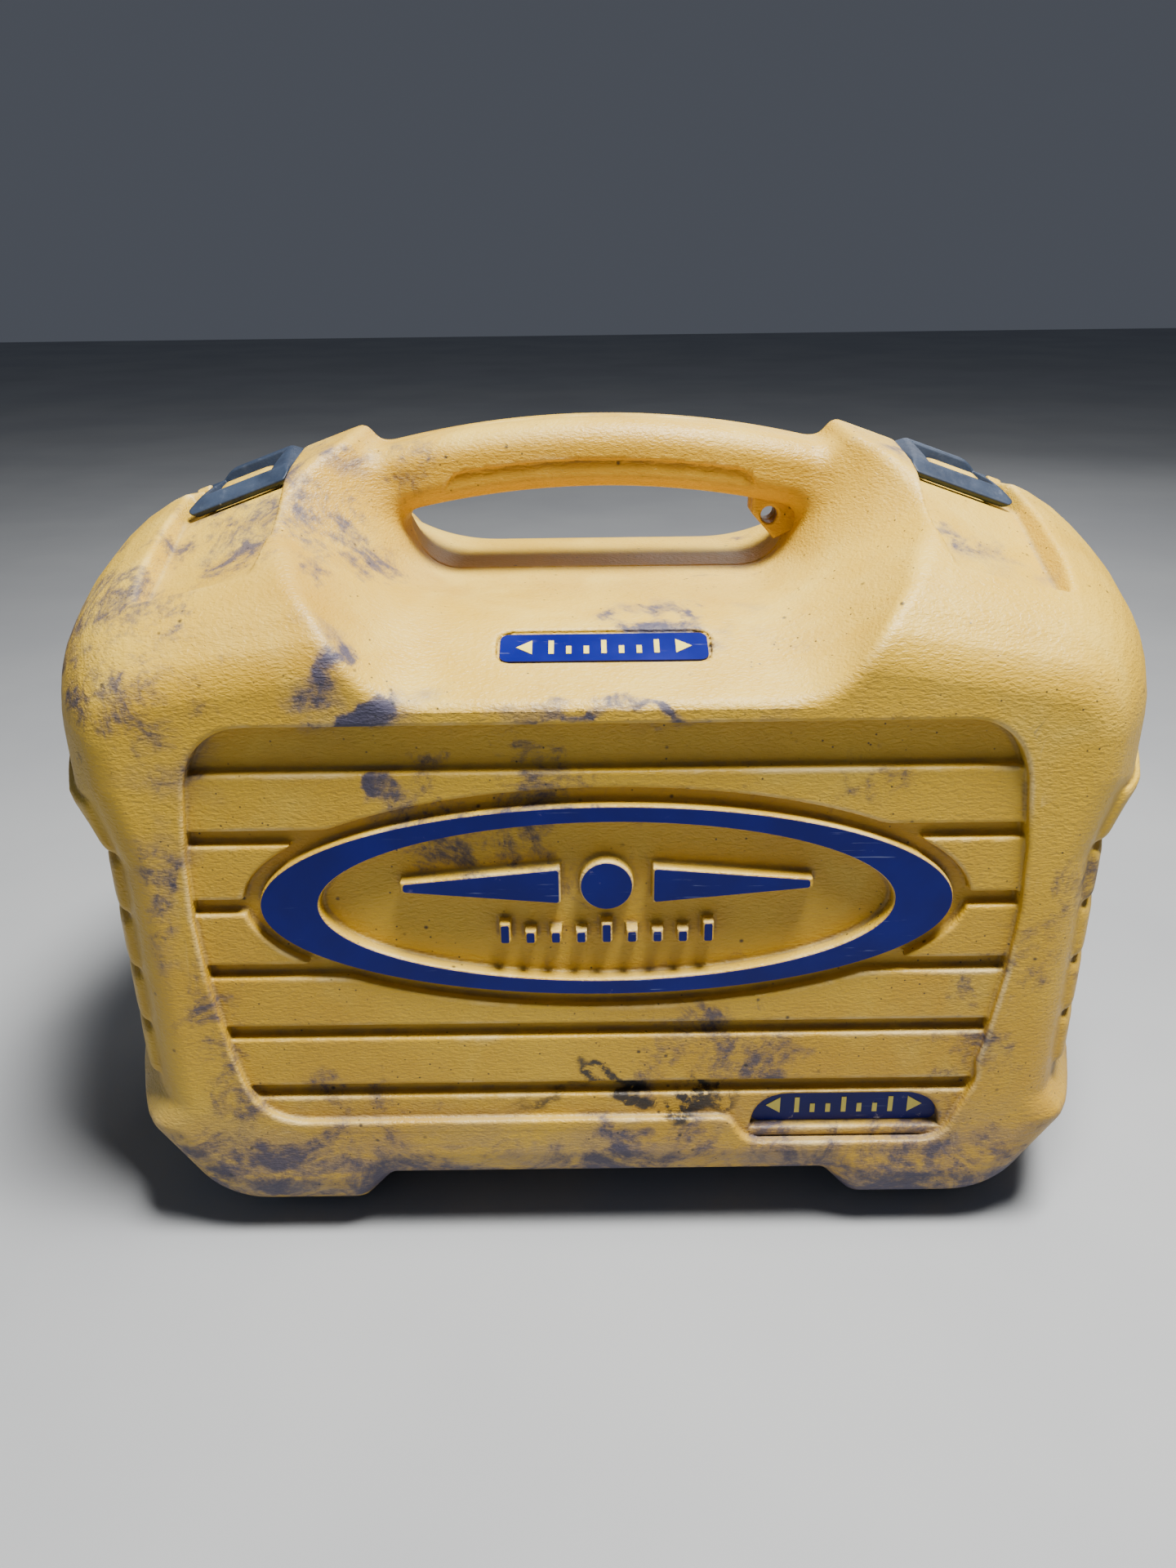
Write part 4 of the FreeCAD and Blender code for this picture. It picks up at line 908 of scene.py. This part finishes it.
MATERIALS = {
    "shell_plastic": shell_plastic(),
    "foam": foam_material(),
    "latch_plastic": latch_plastic(),
    "blue_film": blue_film(),
    "yellow_print": plain("yellow_print", (0.62, 0.50, 0.05), (0.75, 0.63, 0.10), (0.35, 0.5)),
    "steel": plain("steel", (0.48, 0.48, 0.49), (0.62, 0.62, 0.63), (0.22, 0.38), metal=1.0),
    "laser_body": plain("laser_body", (0.70, 0.40, 0.02), (0.80, 0.48, 0.03), (0.28, 0.42), bump=0.08),
    "laser_trim": plain("laser_trim", (0.014, 0.014, 0.016), (0.03, 0.03, 0.034), (0.55, 0.75), bump=0.3),
    "brass": plain("brass", (0.60, 0.42, 0.16), (0.72, 0.52, 0.22), (0.2, 0.36), metal=1.0),
    "rubber": plain("rubber", (0.012, 0.012, 0.012), (0.025, 0.025, 0.025), (0.7, 0.85), bump=0.3),
    "lantern_glass": plain("lantern_glass", (0.80, 0.88, 0.88), (0.86, 0.93, 0.93), (0.03, 0.08), bump=0.01,
                           Transmission_Weight=0.9, IOR=1.49),
    "rotor_metal": plain("rotor_metal", (0.30, 0.31, 0.33), (0.46, 0.47, 0.50), (0.25, 0.4), metal=1.0),
    "optics": plain("optics", (0.50, 0.70, 0.78), (0.60, 0.80, 0.86), (0.02, 0.05), bump=0.005,
                    Transmission_Weight=0.6),
    "battery_wrap": plain("battery_wrap", (0.02, 0.04, 0.12), (0.03, 0.06, 0.17), (0.25, 0.4)),
    "lamp_lens": plain("lamp_lens", (0.45, 0.02, 0.015), (0.60, 0.04, 0.03), (0.12, 0.2), bump=0.02),
    "circuit_board": plain("circuit_board", (0.01, 0.09, 0.03), (0.02, 0.14, 0.05), (0.3, 0.45)),
    "key_rubber": plain("key_rubber", (0.035, 0.04, 0.05), (0.06, 0.065, 0.08), (0.5, 0.7), bump=0.2),
    "receiver_body": plain("receiver_body", (0.68, 0.38, 0.03), (0.78, 0.46, 0.05), (0.35, 0.5), bump=0.12),
    "sensor_window": plain("sensor_window", (0.10, 0.004, 0.006), (0.16, 0.008, 0.01), (0.05, 0.12),
                           bump=0.01),
    "display": plain("display", (0.16, 0.20, 0.15), (0.20, 0.24, 0.18), (0.08, 0.16), bump=0.01),
}


def dress(piece, slot, body=None, *replaced):
    """Gives a piece its material and slot, and if it is new, its body, and hides the nodes that it stands
    for.
    """
    piece.data.materials.clear()
    piece.data.materials.append(MATERIALS[slot])
    if body:
        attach(piece, body)
        if replaced:
            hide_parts(*replaced)
    return piece


# ---- the shells
SHELL_LOW, SHELL_HIGH = (-216.0, -2.0, -3.0), (216.0, 112.0, 304.0)
SHELL_STEP = 1.3
PANEL_BOX = (-152.0, 95.5, 38.0), (152.0, 110.5, 224.0)
LATCH_BOX = (-22.5, -24.5, -1.0), (22.5, 24.0, 12.5)
LUG_BOX = (-LUG_HALF - 1.5, -LUG_REACH - 2.0, -4.0), (LUG_HALF + 1.5, LUG_REACH + 1.5, 8.5)
EAR_BOX = (-29.0, 13.5, -7.0), (29.0, 24.5, 9.5)
TAB_BOX = (56.5, -1.0, 250.0), (86.5, 10.0, 283.0)
KNUCKLE_BOX = (-81.5, -8.5, -1.0), (81.5, 11.5, 19.5)
FOAM_BOX = (-194.0, -1.0, 17.0), (194.0, 98.0, 235.0)
SIDES = [("lid", True), ("base", False)]


def bands_field(x, z):
    """Negative on the raised bands of the panel, as seen from the front."""
    index = np.clip(np.round((RIB_FIRST - RIB_HIGH / 2 - z) / RIB_PITCH), 0, RIB_COUNT - 1)
    middle = RIB_FIRST - RIB_HIGH / 2 - index * RIB_PITCH
    band = np.abs(z - middle) - RIB_HIGH / 2
    bay = np.maximum(np.abs(x - PLATE_X) - 46.0, slab(z, 46.0, 64.0))
    return np.minimum(band, bay)


def oval_field(x, z, grow=0.0, side=0.0, top=0.0):
    """The emblem's oval, grown all round or drawn in at its sides and top."""
    a, b = OVAL_A + grow - side, OVAL_B + grow - top
    px, pz = x / a, (z - OVAL_Z) / b
    length = np.sqrt(px * px + pz * pz)
    slope = np.sqrt((px / a) ** 2 + (pz / b) ** 2) / np.maximum(length, 1e-6)
    return (length - 1.0) / np.maximum(slope, 1e-6)


def arrow_field(x, z):
    """The two arms of the level beam."""
    along = np.abs(x)
    half = np.interp(along, [BEAM_IN, BEAM_OUT], [7.0, 2.0])
    return np.maximum(slab(along, BEAM_IN, BEAM_OUT), np.abs(z - OVAL_Z - BEAM_UP) - half)


def ticks_field(x, z):
    """Nine graduations under the beam, the outer and middle ones taller."""
    index = np.clip(np.round(x / TICK_PITCH), -4, 4)
    tall = np.where(index % 4 == 0, TICK_TALL, TICK_SHORT)
    low = OVAL_Z - TICK_DOWN
    return np.maximum(np.abs(x - index * TICK_PITCH) - TICK_HALF, slab(z, low, low + tall))


def mark_field(x, z):
    """A plain level mark: a hub, its beam and the graduations under it."""
    hub = np.sqrt(x * x + (z - OVAL_Z - BEAM_UP) ** 2) - HUB_R
    return np.minimum(np.minimum(arrow_field(x, z), ticks_field(x, z)), hub)


def emblem_plan(x, z):
    """The oval band with the level mark inside it."""
    ring = np.maximum(oval_field(x, z), -oval_field(x, z, 0.0, OVAL_BAND_SIDE, OVAL_BAND_TOP))
    return np.minimum(ring, mark_field(x, z))


def label_room(x, z):
    """The lower plate's pocket: square below, well rounded above."""
    side, up = np.abs(x - PLATE_X) - PLATE_W / 2 - 0.7, z - PLATE_Z - PLATE_H / 2 - 0.7
    return np.maximum(smooth_max(side, up, 16.0), PLATE_Z - PLATE_H / 2 - 0.7 - z)


def panel_shape(x, y, z, front):
    """The ribbed floor of the sunk panel and its rim, running on past both without end."""
    floor = HALF_DEPTH - PANEL_DEEP
    plan = bands_field(x, z)
    if front:
        plan = smooth_max(plan, -oval_field(x, z, OVAL_MOAT), 1.0)
        plan = smooth_max(plan, -label_room(x, z), 0.6)
    raised = smooth_max(plan, y - (floor + RIB_RISE), 1.5)
    slab_field = smooth_min(y - floor, raised, 1.0)
    if front:
        emblem = smooth_max(emblem_plan(x, z), y - (floor + EMBLEM_RISE), 1.2)
        slab_field = smooth_min(slab_field, emblem, 0.9)
    edge = panel_sink_field(x, z, front)
    rim = smooth_max(-edge, y - HALF_DEPTH + RIM_IN, 1.5)
    return smooth_min(slab_field, rim, 1.0)


def panel_field(x, y, z, front):
    """The panel cut to fit the recess of the shell."""
    back = HALF_DEPTH - PANEL_DEEP - PANEL_BACK
    cut = np.maximum(panel_sink_field(x, z, front) - RIM_WIDE, back - y)
    return np.maximum(panel_shape(x, y, z, front), cut)


def make_shells():
    step = 0.9
    for body, front in SIDES:
        shell = field_piece(f"{body}_moulding", partial(shell_field, front=front),
                            SHELL_LOW, SHELL_HIGH, SHELL_STEP, mirror=not front)
        dress(shell, "shell_plastic", body, f"{body}_shell")
        panel = field_piece(f"{body}_panel", partial(panel_field, front=front), *PANEL_BOX, step, 99000,
                            mirror=not front, shade=partial(panel_shape, front=front))
        dress(panel, "shell_plastic", body, f"{body}_shell")


def latch_place(side):
    """Carries a latch's own axes to its flat on the right (1) or the left (-1) of the case."""
    c, s = math.cos(LATCH_TILT), math.sin(LATCH_TILT)
    return Matrix(((side * c, 0, side * s, side * LATCH_X), (0, 1, 0, 0), (-s, 0, c, LATCH_Z), (0, 0, 0, 1)))


def make_latches():
    step = 0.5
    for name, side in (("left", -1), ("right", 1)):
        place = latch_place(side)
        latch = field_piece(f"latch_{name}_moulding", latch_field, *LATCH_BOX, step, 60000, place=place)
        dress(latch, "latch_plastic", f"latch_{name}", f"latch_{name}")
        lug = field_piece(f"latch_lug_{name}", lug_field, *LUG_BOX, step * 1.2, 20000, place=place)
        dress(lug, "shell_plastic", "base", "base_shell")
        ear = field_piece(f"latch_ears_{name}", ear_field, *EAR_BOX, step * 1.2, 20000, place=place)
        dress(ear, "shell_plastic", "base", "base_shell")


def make_small_mouldings():
    step = 0.7
    for body, front in SIDES:
        tab = field_piece(f"{body}_padlock_tab", tab_field, *TAB_BOX, step, mirror=not front)
        dress(tab, "shell_plastic", body, f"{body}_shell")
        hinge = field_piece(f"{body}_hinge_knuckles", partial(knuckle_field, front=front), *KNUCKLE_BOX,
                            step, mirror=not front)
        dress(hinge, "shell_plastic", body, f"{body}_shell")


def make_foam():
    step = 2.4
    for body, front in SIDES:
        insert = field_piece(f"{body}_foam_insert", partial(foam_field, front=front), *FOAM_BOX, step,
                             mirror=not front)
        dress(insert, "foam", body, f"{body}_foam")


make_shells()
make_latches()
make_small_mouldings()
make_foam()

# ---- pieces kept from the CAD
for entry in frame["record"]["subparts"]:
    node = frame["nodes"].get(entry["node"])
    if node is not None and not node.hide_render:
        dress(node, entry["material_slot"])


# ---- floor, light and camera
def make_floor():
    size = 6.0
    mesh = bpy.data.meshes.new("floor")
    corners = [(-size, -size, 0), (size, -size, 0), (size, size, 0), (-size, size, 0)]
    mesh.from_pydata(corners, [], [(0, 1, 2, 3)])
    floor = bpy.data.objects.new("floor", mesh)
    bpy.context.scene.collection.objects.link(floor)
    n = Nodes("floor")
    n.colour(n.mix(n.band(n.noise(3.0), 0.3, 0.7), (0.29, 0.30, 0.32), (0.33, 0.34, 0.355)))
    n.put("Roughness", 0.85)
    mesh.materials.append(n.material)


def make_world():
    world = bpy.data.worlds.new("studio")
    world.use_nodes = True
    world.node_tree.nodes["Background"].inputs["Color"].default_value = (0.74, 0.82, 1.0, 1.0)
    world.node_tree.nodes["Background"].inputs["Strength"].default_value = 0.10
    bpy.context.scene.world = world


def area_light(name, place, target, size, power, colour=(1, 1, 1)):
    light = bpy.data.lights.new(name, "AREA")
    light.size, light.energy, light.color = size, power, colour
    lamp = bpy.data.objects.new(name, light)
    lamp.location = place
    lamp.rotation_euler = (Vector(target) - Vector(place)).to_track_quat("-Z", "Y").to_euler()
    bpy.context.scene.collection.objects.link(lamp)


def make_camera():
    """At the photograph's angle: a wide lens close to the case, looking 24 degrees down."""
    pitch, roll = math.radians(24.0), math.radians(-0.7)
    ahead = Vector((0, math.cos(pitch), -math.sin(pitch)))
    right = Vector((1, 0, 0))
    up = right.cross(ahead)
    across = right * math.cos(roll) + up * math.sin(roll)
    over = up * math.cos(roll) - right * math.sin(roll)
    data = bpy.data.cameras.new("camera")
    data.sensor_fit, data.sensor_height, data.lens = "VERTICAL", 36.0, 27.04
    data.clip_start = 0.01
    camera = bpy.data.objects.new("camera", data)
    turn = Matrix((across, over, -ahead)).transposed().to_4x4()
    camera.matrix_world = Matrix.Translation(Vector((-0.006, -0.466, 0.355))) @ turn
    bpy.context.scene.collection.objects.link(camera)
    bpy.context.scene.camera = camera


make_floor()
make_world()
area_light("key", (0.22, -0.26, 1.28), (0, -0.05, 0.15), 0.34, 54.0, (1.0, 0.98, 0.93))
area_light("front", (-0.7, -1.6, 0.8), (0, 0, 0.15), 1.2, 1.0, (0.66, 0.80, 1.0))
area_light("side", (-1.6, -0.5, 0.7), (0, 0, 0.15), 0.8, 1.2, (0.66, 0.80, 1.0))
area_light("behind", (0.5, 1.5, 1.0), (0, 0, 0.15), 0.9, 5.0)
make_camera()
